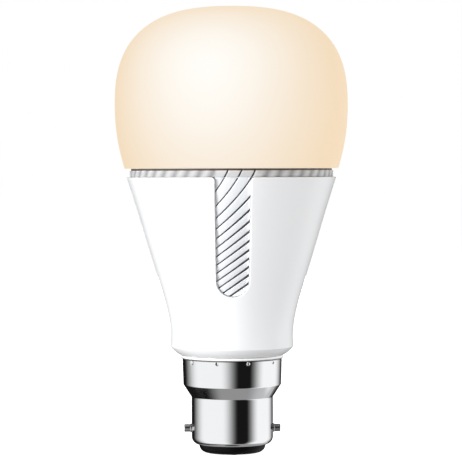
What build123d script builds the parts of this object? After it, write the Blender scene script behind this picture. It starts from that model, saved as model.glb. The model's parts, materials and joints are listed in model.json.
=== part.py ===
from build123d import *

import math
import os

# A wireless LED lamp with a B22d bayonet cap, made as its separate pieces, in millimetres.
#
# Frame: the origin is the centre of the cap's contact plane. +Z runs up the lamp's axis to the top of the
# globe, +X points along the bayonet pins, and -Y is the front, where the first ribbed window is.
# Every piece is a closed solid in its own file. Pieces that touch do so face to face, and pieces that are
# pushed into each other have a small clearance.

# ---------------------------------------------------------------- driving dimensions

# Cap, fixed by the B22d lamp holder
CAP_R = 11.0
CAP_WALL = 0.35
CURL_R = 2.0
CURL_Z = 2.3
TAPER_Z = 15.1
COLLAR_Z = 18.5
COLLAR_TOP_Z = 25.7
COLLAR_R = 13.2
COLLAR_TOP_R = 13.45
CRIMPS = 10
CRIMP_START = -72
CRIMP_Z = 24.9
CRIMP_R = 0.45
CRIMP_DEPTH = 0.3
CRIMP_WALL = 0.1
TAPER_FILLET = 0.12

# Bayonet pins
PIN_R = 0.96
PIN_NECK_R = 1.2
PIN_Z = 6.57
PIN_TIP_X = 13.0
PIN_BOSS_R = 1.35
PIN_BOSS_X = 11.3
PIN_HEAD_R = 1.4
PIN_HEAD_X = 9.75
PIN_SEAT_X = 10.55
PIN_HOLLOW_R = 0.5
PIN_CHAMFER = 0.2

# Insulating disc and the two contacts under it
INSULATOR_Z = 0.1
INSULATOR_TOP_Z = 5.0
INSULATOR_FLAT_R = 7.1
CONTACT_Y = 5.2
CONTACT_R = 1.9
CONTACT_PLATE = 0.8
EYELET_R = 1.1
EYELET_FLARE_R = 1.6
EYELET_FLARE = 0.3
EYELET_TOP_Z = 5.8
EYELET_FLOOR_Z = 1.5
CONTACT_EDGE = 0.1
WIRE_R = 0.4
WIRE_GAP = 0.05
WIRE_FOOT_Z = 2.0
LEAD_R = 0.65
LEAD_BEND_R = 2.0
LEAD_BEND_LOW_Z = 12.5
LEAD_BEND_TOP_Z = 17.0

# White outer sleeve: radius and height of its outline, from the bevel up to its top edge
SLEEVE_OUTLINE = [(16.65, 28.8), (16.5, 31.5), (17.4, 38.4), (20.55, 49.3), (24.45, 62.3), (28.25, 74.5)]
SLEEVE_WALL = 1.1
SLEEVE_FOOT_R = 14.05
SLEEVE_FOOT_Z = 26.6
SLEEVE_FLOOR_Z = 28.2
SLEEVE_LINING_Z = 29.6
BEVEL_MIDDLE = (15.6, 27.45)

# Windows in the sleeve
WINDOWS = 3
WINDOW_TOP_HALF = 4.6
WINDOW_LOW_HALF = 4.25
WINDOW_LOW_Z = 43.0
WINDOW_CORNER_R = 1.0

# Ribbed core
CORE_GAP = 0.05
CORE_WALL = 1.6
CORE_FOOT_Z = 28.25
CORE_SKIN_Z = 30.0
PAD_INSET = 0.7
PAD_ROOT = 0.5
PAD_SIDE_GAP = 0.1
BAND_R = 27.5
BAND_TOP_Z = 76.8
SEAL_R = 26.3
SEAL_Z = 76.2
SOCKET_R = 25.1
LEDGE_Z = 72.0
GROOVES_ROUND = 48
GROOVE_WIDTH = 0.5
GROOVE_DEPTH = 0.4
GROOVE_LEAN = 23.0
GROOVE_START = -92.94
GROOVE_LENGTH = 2.7
GROOVES_IN_WINDOW = 13

# Opal globe: radius and height of its outline, from the rim up to the flat top
GLOBE_OUTLINE = [
    (28.85, 76.8),
    (30.77, 85.0),
    (31.42, 94.7),
    (30.8, 102.0),
    (28.15, 109.3),
    (22.05, 115.7),
    (13.2, 119.3),
]
GLOBE_TOP_Z = 120.35
GLOBE_WALL = 1.6
SPIGOT_R = 25.0
SPIGOT_WALL = 1.2
SPIGOT_FOOT_Z = 73.6
SPIGOT_CHAMFER = 0.3
RIM_TOP_Z = 78.3

# Driver case, the insulating cup that joins the cap to the lamp
CASE_GAP = 0.1
CASE_WALL = 1.2
CASE_R = 13.3
CASE_RING_R = 13.8
CASE_FOOT_Z = 8.4
CASE_TOP_Z = 64.0
POCKET_WALL = 0.2
RAIL_LOW_Z = 27.0
RAIL_TOP_Z = 62.0
RAIL_X = 11.25
RAIL_SIZE = (1.9, 0.8)

# Light engine
SPREADER_WALL = 0.9
SPREADER_FOOT_Z = 39.5
SPREADER_LIP_R = 20.5
PLATE_R = 25.0
PLATE_THICKNESS = 1.5
PAD_R = 19.5
PAD_THICKNESS = 0.4
LED_BOARD_R = 21.0
LED_BOARD_THICKNESS = 1.2
LEDS = 15
LED_RING_R = 16.5
LED_SIZE = 3.0
LED_HEIGHT = 0.7
SCREWS = 3
SCREW_RING_R = 11.0
SCREW_R = 1.25
SCREW_HEAD_R = 1.9
SCREW_HEAD = 1.2
SCREW_EDGE = 0.4
SCREW_CROSS = (2.0, 0.45)
SCREW_CROSS_DEPTH = 0.7
SCREW_END_GAP = 0.5
SCREW_BOSS_R = 2.2
SCREW_BOSS = 1.5
PLATE_CHAMFER = 0.3
LED_WINDOW_R = 0.38 * LED_SIZE
LED_WINDOW_DEPTH = 0.5 * LED_HEIGHT
LED_FILL_GAP = 0.05
MODULE_SLOT = (16.6, 2.4)
OUTPUT_SLOT = (7.0, 3.0)

# Driver board, standing upright in the case with its parts on both faces
BOARD_Y = 2.5
BOARD_THICKNESS = 1.6
BOARD_HALF = 11.2
BOARD_TAIL_HALF = 7.8
BOARD_FOOT_Z = 11.5
BOARD_STEP_Z = 27.5
BOARD_STEP = 1.5
BOARD_TOP_Z = 63.0
ISOLATION_PLACE = (3.0, 50.0)
ISOLATION_SLOT = (9.0, 1.2)
BOARD_FRONT_Y = BOARD_Y - BOARD_THICKNESS / 2
BOARD_BACK_Y = BOARD_Y + BOARD_THICKNESS / 2
LEAD_END_Z = 20.5

# Parts in front of the driver board. A place is x and z, or x and foot z for a part that stands upright.
CAN_NECK_Z = 1.4
CAN_NECK = 0.7
CAN_NECK_DEPTH = 0.35
CAN_EDGE = 0.5
CAN_SCORE = 0.3
CAN_SCORE_DEPTH = 0.25
CAN_GAP = 0.3
BULK_CAN_PLACE = (5.3, 33.0)
BULK_CAN_R = 4.5
BULK_CAN_HEIGHT = 15.0
FUSE_PLACE = (4.6, 14.0)
FUSE_R = 1.4
FUSE_LENGTH = 6.0
FUSE_GAP = 0.1
FUSE_WIRE_R = 0.35
FUSE_WIRE = 8.0
VARISTOR_PLACE = (-4.6, 20.5)
VARISTOR_R = 3.1
VARISTOR_THICKNESS = 2.2
VARISTOR_EDGE = 0.7
VARISTOR_GAP = 0.2
CHOKE_PLACE = (4.6, 23.0)
CHOKE_R = 3.1
CHOKE_POST_R = 1.6
CHOKE_WIRE_R = 2.8
CHOKE_HEIGHT = 8.5
CHOKE_FLANGE = 1.2
CHOKE_GAP = 0.2
FILM_PLACE = (-4.8, 31.0)
FILM_SIZE = (7.4, 5.0, 9.0)
FILM_EDGE = 0.4
FILM_GAP = 0.2

# Transformer: an E-shaped pair of cores, a bobbin and its winding, round one middle
TRANSFORMER_PLACE = (-4.3, 43.0)
TRANSFORMER_OUT = 4.4
TRANSFORMER_CORE = (8.8, 4.4, 10.6)
TRANSFORMER_OPENING = (6.6, 4.6, 7.6)
TRANSFORMER_POST = 2.4
BOBBIN_FLANGE = (6.4, 7.6, 0.7)
BOBBIN_FLANGE_Z = 3.35
BOBBIN_TUBE = (3.6, 5.6, 6.2)
BOBBIN_HOLE = (2.5, 4.5, 8.0)
WINDING_SIZE = (6.3, 7.4, 5.9)
WINDING_CORNER_R = 1.0
WINDING_HOLE = (3.7, 5.7)

# Parts on the back of the driver board: a place is x and z, and a size is width, height off the board, length
OUTPUT_CAN_PLACE = (0, 50.5)
OUTPUT_CAN_R = 4.0
OUTPUT_CAN_HEIGHT = 11.0
OUTPUT_CAN_GAP = 0.2
LEG = (0.4, 0.2, 1.6)
LEG_REACH = 2.3
PACKAGE_LIFT = 0.2
BRIDGE_PLACE = (-5.0, 33.0)
BRIDGE_SIZE = (4.8, 1.5, 4.0)
BRIDGE_LEGS = 2
BRIDGE_PITCH = 2.54
IC_PLACE = (4.5, 42.0)
IC_SIZE = (5.0, 1.4, 3.9)
IC_LIFT = 0.15
IC_LEGS = 4
IC_PITCH = 1.27
IC_MARK_PLACE = (2.7, 40.8)
IC_MARK_R = 0.3
IC_MARK_DEPTH = 0.1
TRANSISTOR_PLACE = (-5.0, 44.0)
TRANSISTOR_SIZE = (6.0, 2.1, 5.6)
TRANSISTOR_TAB_Z = 46.6
TRANSISTOR_TAB = (5.2, 0.5, 2.4)
TRANSISTOR_LEG_Z = 40.6
TRANSISTOR_LEG_REACH = 2.0
TRANSISTOR_LEG = (0.8, 0.5, 2.6)
DIODE_PLACE = (-7.6, 55.0)
DIODE_SIZE = (2.6, 2.0, 4.3)
DIODE_LIFT = 0.1
DIODE_TAB = (1.5, 0.2, 5.2)
RESISTOR_SIZE = (1.6, 0.55, 3.2)
RESISTOR_PLACES = [
    (2.6, 30.5),
    (2.6, 35.5),
    (5.2, 30.5),
    (5.2, 35.5),
    (7.8, 30.5),
    (7.8, 35.5),
    (-9.0, 33.0),
    (7.2, 48.0),
]
CHIP_CAPACITOR_SIZE = (1.3, 1.2, 2.0)
CHIP_CAPACITOR_PLACES = [(6.2, 54.5), (8.2, 54.5), (0.6, 33.0), (0.6, 38.0), (9.2, 42.0)]

# Wireless module, standing in front of the driver board and reaching up into the globe
MODULE_Y = -2.0
MODULE_THICKNESS = 0.8
MODULE_WIDTH = 15.0
MODULE_FOOT_Z = 50.0
MODULE_TOP_Z = 82.0
MODULE_PINS = 5
MODULE_PINS_Z = 53.0
MODULE_PIN_PITCH = 2.0
MODULE_PIN_R = 0.32
MODULE_PIN_HOLE_R = 0.4
SHIELD_FOOT_Z = 56.0
SHIELD_TOP_Z = 68.0
SHIELD_WIDTH = 12.6
SHIELD_DEPTH = 2.2
SHIELD_EDGE = 0.4
SHIELD_SHEET = 0.3
ANTENNA_X = -5.0
ANTENNA_Z = 78.4
ANTENNA_LEGS = 6
ANTENNA_HEIGHT = 5.0
ANTENNA_TRACK = 0.6
ANTENNA_PITCH = 2.0
ANTENNA_COPPER = 0.1

# Output pins from the driver board up to the light engine
OUTPUT_X = 6.27
OUTPUT_PITCH = 2.54
OUTPUT_PIN = 0.64
OUTPUT_FOOT_Z = 57.0
OUTPUT_TOP_Z = 77.0
OUTPUT_STRIP = 2.5
OUTPUT_STRIP_DEPTH = 2.0
CONNECTOR_RIM = 1.4
CONNECTOR_HEIGHT = 2.4
CONNECTOR_EDGE = 0.3
CONNECTOR_PIN_GAP = 0.1

# ---------------------------------------------------------------- heights that follow

PAD_Z = LEDGE_Z + PLATE_THICKNESS
LED_BOARD_Z = PAD_Z + PAD_THICKNESS
LED_Z = LED_BOARD_Z + LED_BOARD_THICKNESS
WINDOW_ANGLES = [-90 + 360 / WINDOWS * turn for turn in range(WINDOWS)]
SLEEVE_TOP_Z = SLEEVE_OUTLINE[-1][1]
OUTPUT_Y = BOARD_FRONT_Y - OUTPUT_PIN / 2

# ---------------------------------------------------------------- profile curves and helpers

sleeve_curve = Spline(*SLEEVE_OUTLINE)
globe_curve = Spline(
    *GLOBE_OUTLINE,
    (0, GLOBE_TOP_Z),
    tangents=[(0.3, 1), (-1, 0)],
)


def inset_point(curve, distance, z):
    """Point at height z on the line that runs at a distance inside a rising profile curve."""
    low, high = 0.0, 1.0
    for _ in range(40):
        middle = (low + high) / 2
        along = curve % middle
        point = curve @ middle + Vector(-along.Y, along.X) * distance
        if point.Y < z:
            low = middle
        else:
            high = middle
    return (point.X, z)


def inset_line(curve, distance, low_z, high_z, count=7):
    """Points, from the lowest up, of the line that runs at a distance inside a profile curve."""
    heights = [low_z + (high_z - low_z) * step / (count - 1) for step in range(count)]
    return [inset_point(curve, distance, z) for z in heights]


def cap_line(inset):
    """Corners of the cap's wall above its curl, at a distance inside its outer face."""
    taper = math.atan2(COLLAR_R - CAP_R, COLLAR_Z - TAPER_Z)
    rise = inset * math.tan(taper / 2)
    return [
        (CAP_R - inset, TAPER_Z + rise),
        (COLLAR_R - inset, COLLAR_Z + rise),
        (COLLAR_TOP_R - inset, COLLAR_TOP_Z),
    ]


def outward_plane(angle):
    """Upright plane through the axis, with its x to the right and its z out of the lamp."""
    turn = math.radians(angle)
    return Plane(
        origin=(0, 0, 0),
        x_dir=(-math.sin(turn), math.cos(turn), 0),
        z_dir=(math.cos(turn), math.sin(turn), 0),
    )


def window_outline(margin, flared):
    """Sketch of a window: tapered sides, a round lower end and, if flared, rounded top corners."""
    top_half = WINDOW_TOP_HALF - margin
    low_half = WINDOW_LOW_HALF - margin
    centre_z = WINDOW_LOW_Z + WINDOW_LOW_HALF
    corner_z = SLEEVE_TOP_Z - WINDOW_CORNER_R
    open_z = SLEEVE_TOP_Z + WINDOW_CORNER_R
    with BuildSketch() as outline:
        with BuildLine():
            Line((-low_half, centre_z), (-top_half, corner_z))
            Line((-top_half, corner_z), (-top_half, open_z))
            Line((-top_half, open_z), (top_half, open_z))
            Line((top_half, open_z), (top_half, corner_z))
            Line((top_half, corner_z), (low_half, centre_z))
            ThreePointArc((low_half, centre_z), (0, WINDOW_LOW_Z + margin), (-low_half, centre_z))
        make_face()
        if flared:
            for side in (-1, 1):
                with Locations((side * (top_half + WINDOW_CORNER_R / 2), corner_z + WINDOW_CORNER_R)):
                    Rectangle(WINDOW_CORNER_R, 2 * WINDOW_CORNER_R)
                with Locations((side * (top_half + WINDOW_CORNER_R), corner_z)):
                    Circle(WINDOW_CORNER_R, mode=Mode.SUBTRACT)
    return outline.sketch


def groove_phase(x, z):
    """Number of grooves passed at a point of the ribbed field. The ribs flatten as they go down."""
    depth = (BAND_TOP_Z - 0.4 - z) / 30
    down = max(depth, 0.0)
    passed = 0.303 + 3.565 * depth + 9.93 * down**2 - 3.11 * down**3
    pitch = 3.575 - 1.06 * down + 0.53 * down**2
    return passed + x / pitch


def groove_height(index, x):
    """Height at which a numbered groove crosses the upright line at x."""
    low, high = WINDOW_LOW_Z - 10, BAND_TOP_Z + 20
    for _ in range(40):
        middle = (low + high) / 2
        if groove_phase(x, middle) > index:
            low = middle
        else:
            high = middle
    return low


def back_block(size, place, lift=0.0):
    """Block on the back of the driver board, or lifted off it."""
    x, z = place
    with Locations((x, BOARD_BACK_Y + lift + size[1] / 2, z)):
        Box(*size)


def gull_legs(place, count, pitch):
    """Flat legs on both sides of a small package on the back of the driver board."""
    x, z = place
    for side in (-1, 1):
        for number in range(count):
            across = (number - (count - 1) / 2) * pitch
            with Locations((x + across, BOARD_BACK_Y + LEG[1] / 2, z + side * LEG_REACH)):
                Box(*LEG)


os.makedirs("parts", exist_ok=True)

# ---------------------------------------------------------------- globe and its seal

with BuildPart() as diffuser:
    with BuildSketch(Plane.XZ):
        with BuildLine():
            add(globe_curve)
            inner = Spline(
                *inset_line(globe_curve, GLOBE_WALL, RIM_TOP_Z, 115.0),
                inset_point(globe_curve, GLOBE_WALL, 118.0),
                (0, GLOBE_TOP_Z - GLOBE_WALL),
                tangents=[(0.3, 1), (-1, 0)],
            )
            Line(inner @ 1, globe_curve @ 1)
            Polyline(
                globe_curve @ 0,
                (SPIGOT_R, BAND_TOP_Z),
                (SPIGOT_R, SPIGOT_FOOT_Z),
                (SPIGOT_R - SPIGOT_WALL, SPIGOT_FOOT_Z),
                (SPIGOT_R - SPIGOT_WALL, RIM_TOP_Z),
                inner @ 0,
            )
        make_face()
    revolve(axis=Axis.Z)
    chamfer(diffuser.edges().group_by(Axis.Z)[0], length=SPIGOT_CHAMFER)

diffuser.part.label = "diffuser"
export_step(diffuser.part, "parts/diffuser.step")

with BuildPart() as diffuser_seal:
    with BuildSketch(Plane.XY.offset(SEAL_Z)):
        Circle(SEAL_R - CORE_GAP)
        Circle(SOCKET_R, mode=Mode.SUBTRACT)
    extrude(amount=BAND_TOP_Z - SEAL_Z)

diffuser_seal.part.label = "diffuser_seal"
export_step(diffuser_seal.part, "parts/diffuser_seal.step")

# ---------------------------------------------------------------- white sleeve

sleeve_inner = inset_line(sleeve_curve, SLEEVE_WALL, SLEEVE_LINING_Z, SLEEVE_TOP_Z)

with BuildPart() as outer_sleeve:
    with BuildSketch(Plane.XZ):
        with BuildLine():
            add(sleeve_curve)
            lining = Spline(*sleeve_inner)
            Line(sleeve_curve @ 1, lining @ 1)
            bevel = ThreePointArc((SLEEVE_FOOT_R, SLEEVE_FOOT_Z), BEVEL_MIDDLE, sleeve_curve @ 0)
            Polyline(
                lining @ 0,
                (sleeve_inner[0][0], SLEEVE_FLOOR_Z),
                (CASE_R + CASE_GAP, SLEEVE_FLOOR_Z),
                (CASE_R + CASE_GAP, SLEEVE_FOOT_Z),
                bevel @ 0,
            )
        make_face()
    revolve(axis=Axis.Z)
    for angle in WINDOW_ANGLES:
        with BuildSketch(outward_plane(angle)):
            add(window_outline(0, True))
        extrude(amount=2 * BAND_R, mode=Mode.SUBTRACT)

outer_sleeve.part.label = "outer_sleeve"
export_step(outer_sleeve.part, "parts/outer_sleeve.step")

# ---------------------------------------------------------------- ribbed core

core_face = SLEEVE_WALL + CORE_GAP
pad_span = (WINDOW_LOW_Z - 1, SLEEVE_TOP_Z)

# The ribbed pads that stand in the windows, and the grooves that are cut into them.
with BuildPart() as core_pads:
    with BuildSketch(Plane.XZ):
        with BuildLine():
            pad_face = Spline(*inset_line(sleeve_curve, PAD_INSET, *pad_span))
            pad_back = Spline(*inset_line(sleeve_curve, core_face + PAD_ROOT, *pad_span))
            Line(pad_face @ 0, pad_back @ 0)
            Line(pad_face @ 1, pad_back @ 1)
        make_face()
    revolve(axis=Axis.Z)

with BuildPart() as window_prisms:
    for angle in WINDOW_ANGLES:
        with BuildSketch(outward_plane(angle)):
            add(window_outline(PAD_SIDE_GAP, False))
        extrude(amount=2 * BAND_R)

with BuildPart() as groove_prisms:
    for angle in WINDOW_ANGLES:
        with BuildSketch(outward_plane(angle)):
            for index in range(1, GROOVES_IN_WINDOW + 1):
                left, right = -WINDOW_TOP_HALF - GROOVE_WIDTH, WINDOW_TOP_HALF + GROOVE_WIDTH
                upper = [(x, groove_height(index, x)) for x in (left, 0, right)]
                slope = (upper[2][1] - upper[0][1]) / (right - left)
                drop = GROOVE_WIDTH * math.hypot(1, slope)
                lower = [(x, z - drop) for x, z in reversed(upper)]
                with BuildLine():
                    Polyline(*upper, *lower, close=True)
                make_face()
        extrude(amount=2 * BAND_R)

with BuildPart() as groove_floor:
    with BuildSketch(Plane.XZ):
        with BuildLine():
            floor_face = Spline(*inset_line(sleeve_curve, PAD_INSET + GROOVE_DEPTH, *pad_span))
            Polyline(
                floor_face @ 1,
                (2 * BAND_R, SLEEVE_TOP_Z),
                (2 * BAND_R, WINDOW_LOW_Z - 1),
                floor_face @ 0,
            )
        make_face()
    revolve(axis=Axis.Z)

with BuildPart() as ribbed_core:
    with BuildSketch(Plane.XZ):
        with BuildLine():
            skin = Spline(*inset_line(sleeve_curve, core_face, CORE_SKIN_Z, SLEEVE_TOP_Z))
            inside = Spline(*inset_line(sleeve_curve, core_face + CORE_WALL, CORE_SKIN_Z, LEDGE_Z))
            Polyline(
                skin @ 1,
                (BAND_R, SLEEVE_TOP_Z),
                (BAND_R, BAND_TOP_Z),
                (SEAL_R, BAND_TOP_Z),
                (SEAL_R, SEAL_Z),
                (SOCKET_R, SEAL_Z),
                (SOCKET_R, LEDGE_Z),
                inside @ 1,
            )
            Polyline(
                skin @ 0,
                ((skin @ 0).X, CORE_FOOT_Z),
                ((inside @ 0).X, CORE_FOOT_Z),
                inside @ 0,
            )
        make_face()
    revolve(axis=Axis.Z)
    add(core_pads.part & window_prisms.part)
    add(groove_floor.part & groove_prisms.part, mode=Mode.SUBTRACT)
    with Locations((0, 0, (SLEEVE_TOP_Z + BAND_TOP_Z) / 2)):
        with PolarLocations(BAND_R, GROOVES_ROUND, start_angle=GROOVE_START):
            Box(
                2 * GROOVE_DEPTH,
                GROOVE_WIDTH,
                GROOVE_LENGTH,
                rotation=(-GROOVE_LEAN, 0, 0),
                mode=Mode.SUBTRACT,
            )

ribbed_core.part.label = "ribbed_core"
export_step(ribbed_core.part, "parts/ribbed_core.step")

# ---------------------------------------------------------------- cap shell and its pins

with BuildPart() as cap_shell:
    with BuildSketch(Plane.XZ):
        with BuildLine():
            outside = Polyline((CAP_R, CURL_Z + CURL_R), *cap_line(0))
            within = Polyline((CAP_R - CAP_WALL, CURL_Z + CURL_R), *cap_line(CAP_WALL))
            Line(outside @ 1, within @ 1)
            curl_out = CenterArc((CAP_R - CURL_R, CURL_Z + CURL_R), CURL_R, -90, 90)
            curl_in = CenterArc((CAP_R - CURL_R, CURL_Z + CURL_R), CURL_R - CAP_WALL, -90, 90)
            Line(curl_out @ 0, curl_in @ 0)
        make_face()
    revolve(axis=Axis.Z)
    taper_edges = cap_shell.edges().filter_by(GeomType.CIRCLE).filter_by_position(Axis.Z, TAPER_Z, COLLAR_Z)
    fillet(taper_edges, radius=TAPER_FILLET)
    # Each crimp is a dimple in the outer face, with the metal pushed in behind it.
    with Locations((0, 0, CRIMP_Z)):
        with PolarLocations(COLLAR_TOP_R - CAP_WALL, CRIMPS, start_angle=CRIMP_START):
            Cylinder(CRIMP_R + CRIMP_WALL, 2 * CRIMP_DEPTH, rotation=(0, 90, 0))
        with PolarLocations(COLLAR_TOP_R, CRIMPS, start_angle=CRIMP_START):
            Cylinder(CRIMP_R, 2 * CRIMP_DEPTH, rotation=(0, 90, 0), mode=Mode.SUBTRACT)
    # Holes that the bayonet pins are riveted through
    with Locations((0, 0, PIN_Z)):
        Cylinder(PIN_NECK_R, 4 * CAP_R, rotation=(0, 90, 0), mode=Mode.SUBTRACT)

cap_shell.part.label = "cap_shell"
export_step(cap_shell.part, "parts/cap_shell.step")


def bayonet_pin(side):
    """Rivet-like pin through the cap's wall, with a head inside and a hollow tip outside."""
    with BuildPart() as pin:
        with BuildSketch(Plane.YZ.offset(side * PIN_HEAD_X)):
            with Locations((0, PIN_Z)):
                Circle(PIN_HEAD_R)
        extrude(amount=side * (PIN_SEAT_X - PIN_HEAD_X))
        with BuildSketch(Plane.YZ.offset(side * PIN_SEAT_X)):
            with Locations((0, PIN_Z)):
                Circle(PIN_NECK_R)
        extrude(amount=side * (CAP_R - PIN_SEAT_X))
        with BuildSketch(Plane.YZ.offset(side * CAP_R)):
            with Locations((0, PIN_Z)):
                Circle(PIN_BOSS_R)
        extrude(amount=side * (PIN_BOSS_X - CAP_R))
        with BuildSketch(Plane.YZ.offset(side * PIN_BOSS_X)):
            with Locations((0, PIN_Z)):
                Circle(PIN_R)
        extrude(amount=side * (PIN_TIP_X - PIN_BOSS_X))
        tip = pin.faces().sort_by(Axis.X)[-1 if side > 0 else 0]
        chamfer(tip.edges(), length=PIN_CHAMFER)
        with BuildSketch(Plane.YZ.offset(side * PIN_TIP_X)):
            with Locations((0, PIN_Z)):
                Circle(PIN_HOLLOW_R)
        extrude(amount=-side * PIN_HOLLOW_R, mode=Mode.SUBTRACT)
    return pin


bayonet_pin_left = bayonet_pin(-1)
bayonet_pin_left.part.label = "bayonet_pin_left"
export_step(bayonet_pin_left.part, "parts/bayonet_pin_left.step")

bayonet_pin_right = bayonet_pin(1)
bayonet_pin_right.part.label = "bayonet_pin_right"
export_step(bayonet_pin_right.part, "parts/bayonet_pin_right.step")

# ---------------------------------------------------------------- insulating disc, contacts and leads

neck_r = CAP_R - CURL_R - CORE_GAP
nest_r = CURL_R - CAP_WALL - CORE_GAP

with BuildPart() as cap_insulator:
    with BuildSketch(Plane.XZ):
        with BuildLine():
            Line((0, INSULATOR_Z), (INSULATOR_FLAT_R, INSULATOR_Z))
            RadiusArc((INSULATOR_FLAT_R, INSULATOR_Z), (neck_r, CURL_Z), -CURL_R)
            Line((neck_r, CURL_Z), (neck_r, CURL_Z + CURL_R - nest_r))
            nest = CenterArc((neck_r, CURL_Z + CURL_R), nest_r, -90, 90)
            Polyline(nest @ 1, (neck_r + nest_r, INSULATOR_TOP_Z), (0, INSULATOR_TOP_Z), (0, INSULATOR_Z))
        make_face()
    revolve(axis=Axis.Z)
    with Locations((0, -CONTACT_Y, INSULATOR_Z), (0, CONTACT_Y, INSULATOR_Z)):
        Cylinder(
            CONTACT_R + CORE_GAP,
            CONTACT_PLATE - INSULATOR_Z,
            align=(Align.CENTER, Align.CENTER, Align.MIN),
            mode=Mode.SUBTRACT,
        )
    with Locations((0, -CONTACT_Y, INSULATOR_TOP_Z), (0, CONTACT_Y, INSULATOR_TOP_Z)):
        Hole(EYELET_R + CORE_GAP)

cap_insulator.part.label = "cap_insulator"
export_step(cap_insulator.part, "parts/cap_insulator.step")


def contact(side):
    """Contact plate with an eyelet through the insulating disc, flared over inside."""
    with BuildPart() as plate:
        with BuildSketch(Plane.XY):
            with Locations((0, side * CONTACT_Y)):
                Circle(CONTACT_R)
        extrude(amount=CONTACT_PLATE)
        fillet(plate.edges().group_by(Axis.Z)[-1], radius=CONTACT_EDGE)
        with BuildSketch(Plane.XY):
            with Locations((0, side * CONTACT_Y)):
                Circle(EYELET_R)
        extrude(amount=EYELET_TOP_Z)
        with BuildSketch(Plane.XY.offset(INSULATOR_TOP_Z)):
            with Locations((0, side * CONTACT_Y)):
                Circle(EYELET_FLARE_R)
        extrude(amount=EYELET_FLARE)
        with Locations((0, side * CONTACT_Y, EYELET_TOP_Z)):
            Hole(WIRE_R + WIRE_GAP, depth=EYELET_TOP_Z - EYELET_FLOOR_Z)
    return plate


contact_live = contact(-1)
contact_live.part.label = "contact_live"
export_step(contact_live.part, "parts/contact_live.step")

contact_neutral = contact(1)
contact_neutral.part.label = "contact_neutral"
export_step(contact_neutral.part, "parts/contact_neutral.step")


def lead(side, end_y):
    """Insulated wire from a contact's eyelet, up through the case and onto the driver board."""
    with BuildPart() as wire:
        with BuildLine():
            FilletPolyline(
                (0, side * CONTACT_Y, EYELET_TOP_Z),
                (0, side * CONTACT_Y, LEAD_BEND_LOW_Z),
                (0, end_y, LEAD_BEND_TOP_Z),
                (0, end_y, LEAD_END_Z),
                radius=LEAD_BEND_R,
            )
        with BuildSketch(Plane.XY.offset(EYELET_TOP_Z)):
            with Locations((0, side * CONTACT_Y)):
                Circle(LEAD_R)
        sweep()
        with Locations((0, side * CONTACT_Y, WIRE_FOOT_Z)):
            Cylinder(WIRE_R, EYELET_TOP_Z - WIRE_FOOT_Z, align=(Align.CENTER, Align.CENTER, Align.MIN))
    return wire


live_lead = lead(-1, BOARD_FRONT_Y - LEAD_R - CORE_GAP)
live_lead.part.label = "live_lead"
export_step(live_lead.part, "parts/live_lead.step")

neutral_lead = lead(1, BOARD_BACK_Y + LEAD_R + CORE_GAP)
neutral_lead.part.label = "neutral_lead"
export_step(neutral_lead.part, "parts/neutral_lead.step")

# ---------------------------------------------------------------- driver case

case_face = cap_line(CAP_WALL + CASE_GAP)
case_lining = cap_line(CAP_WALL + CASE_GAP + CASE_WALL)

with BuildPart() as driver_case:
    with BuildSketch(Plane.XZ):
        with BuildLine():
            Polyline(
                (0, CASE_FOOT_Z),
                (case_face[0][0], CASE_FOOT_Z),
                *case_face,
                (CASE_RING_R, COLLAR_TOP_Z),
                (CASE_RING_R, SLEEVE_FOOT_Z),
                (CASE_R, SLEEVE_FOOT_Z),
                (CASE_R, CASE_TOP_Z),
                (CASE_R - CASE_WALL, CASE_TOP_Z),
                (CASE_R - CASE_WALL, SLEEVE_FOOT_Z + CASE_WALL),
                *reversed(case_lining),
                (case_lining[0][0], CASE_FOOT_Z + CASE_WALL),
                (0, CASE_FOOT_Z + CASE_WALL),
                (0, CASE_FOOT_Z),
            )
        make_face()
    revolve(axis=Axis.Z)
    # Pockets that the crimps lock into
    with Locations((0, 0, CRIMP_Z)):
        with PolarLocations(case_face[2][0], CRIMPS, start_angle=CRIMP_START):
            Cylinder(CRIMP_R + POCKET_WALL, 2 * CRIMP_DEPTH, rotation=(0, 90, 0), mode=Mode.SUBTRACT)
    # Holes for the leads
    with Locations((0, -CONTACT_Y, CASE_FOOT_Z + CASE_WALL), (0, CONTACT_Y, CASE_FOOT_Z + CASE_WALL)):
        Hole(LEAD_R + CASE_GAP)
    # Rails that hold the driver board's two edges
    rail_out = BOARD_THICKNESS / 2 + CASE_GAP + RAIL_SIZE[1] / 2
    for rail_y in (BOARD_Y - rail_out, BOARD_Y + rail_out):
        with Locations((-RAIL_X, rail_y, RAIL_LOW_Z), (RAIL_X, rail_y, RAIL_LOW_Z)):
            Box(*RAIL_SIZE, RAIL_TOP_Z - RAIL_LOW_Z, align=(Align.CENTER, Align.CENTER, Align.MIN))

driver_case.part.label = "driver_case"
export_step(driver_case.part, "parts/driver_case.step")

# ---------------------------------------------------------------- heat spreader and light engine

spreader_face = core_face + CORE_WALL + CORE_GAP
spreader_back = spreader_face + SPREADER_WALL
lip_z = LEDGE_Z - SPREADER_WALL

with BuildPart() as heat_spreader_cup:
    with BuildSketch(Plane.XZ):
        with BuildLine():
            wall_out = Spline(*inset_line(sleeve_curve, spreader_face, SPREADER_FOOT_Z, LEDGE_Z, 5))
            wall_in = Spline(*inset_line(sleeve_curve, spreader_back, SPREADER_FOOT_Z, lip_z, 5))
            Line(wall_out @ 0, wall_in @ 0)
            Polyline(
                wall_in @ 1,
                (SPREADER_LIP_R, lip_z),
                (SPREADER_LIP_R, LEDGE_Z),
                wall_out @ 1,
            )
        make_face()
    revolve(axis=Axis.Z)

heat_spreader_cup.part.label = "heat_spreader_cup"
export_step(heat_spreader_cup.part, "parts/heat_spreader_cup.step")


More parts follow.
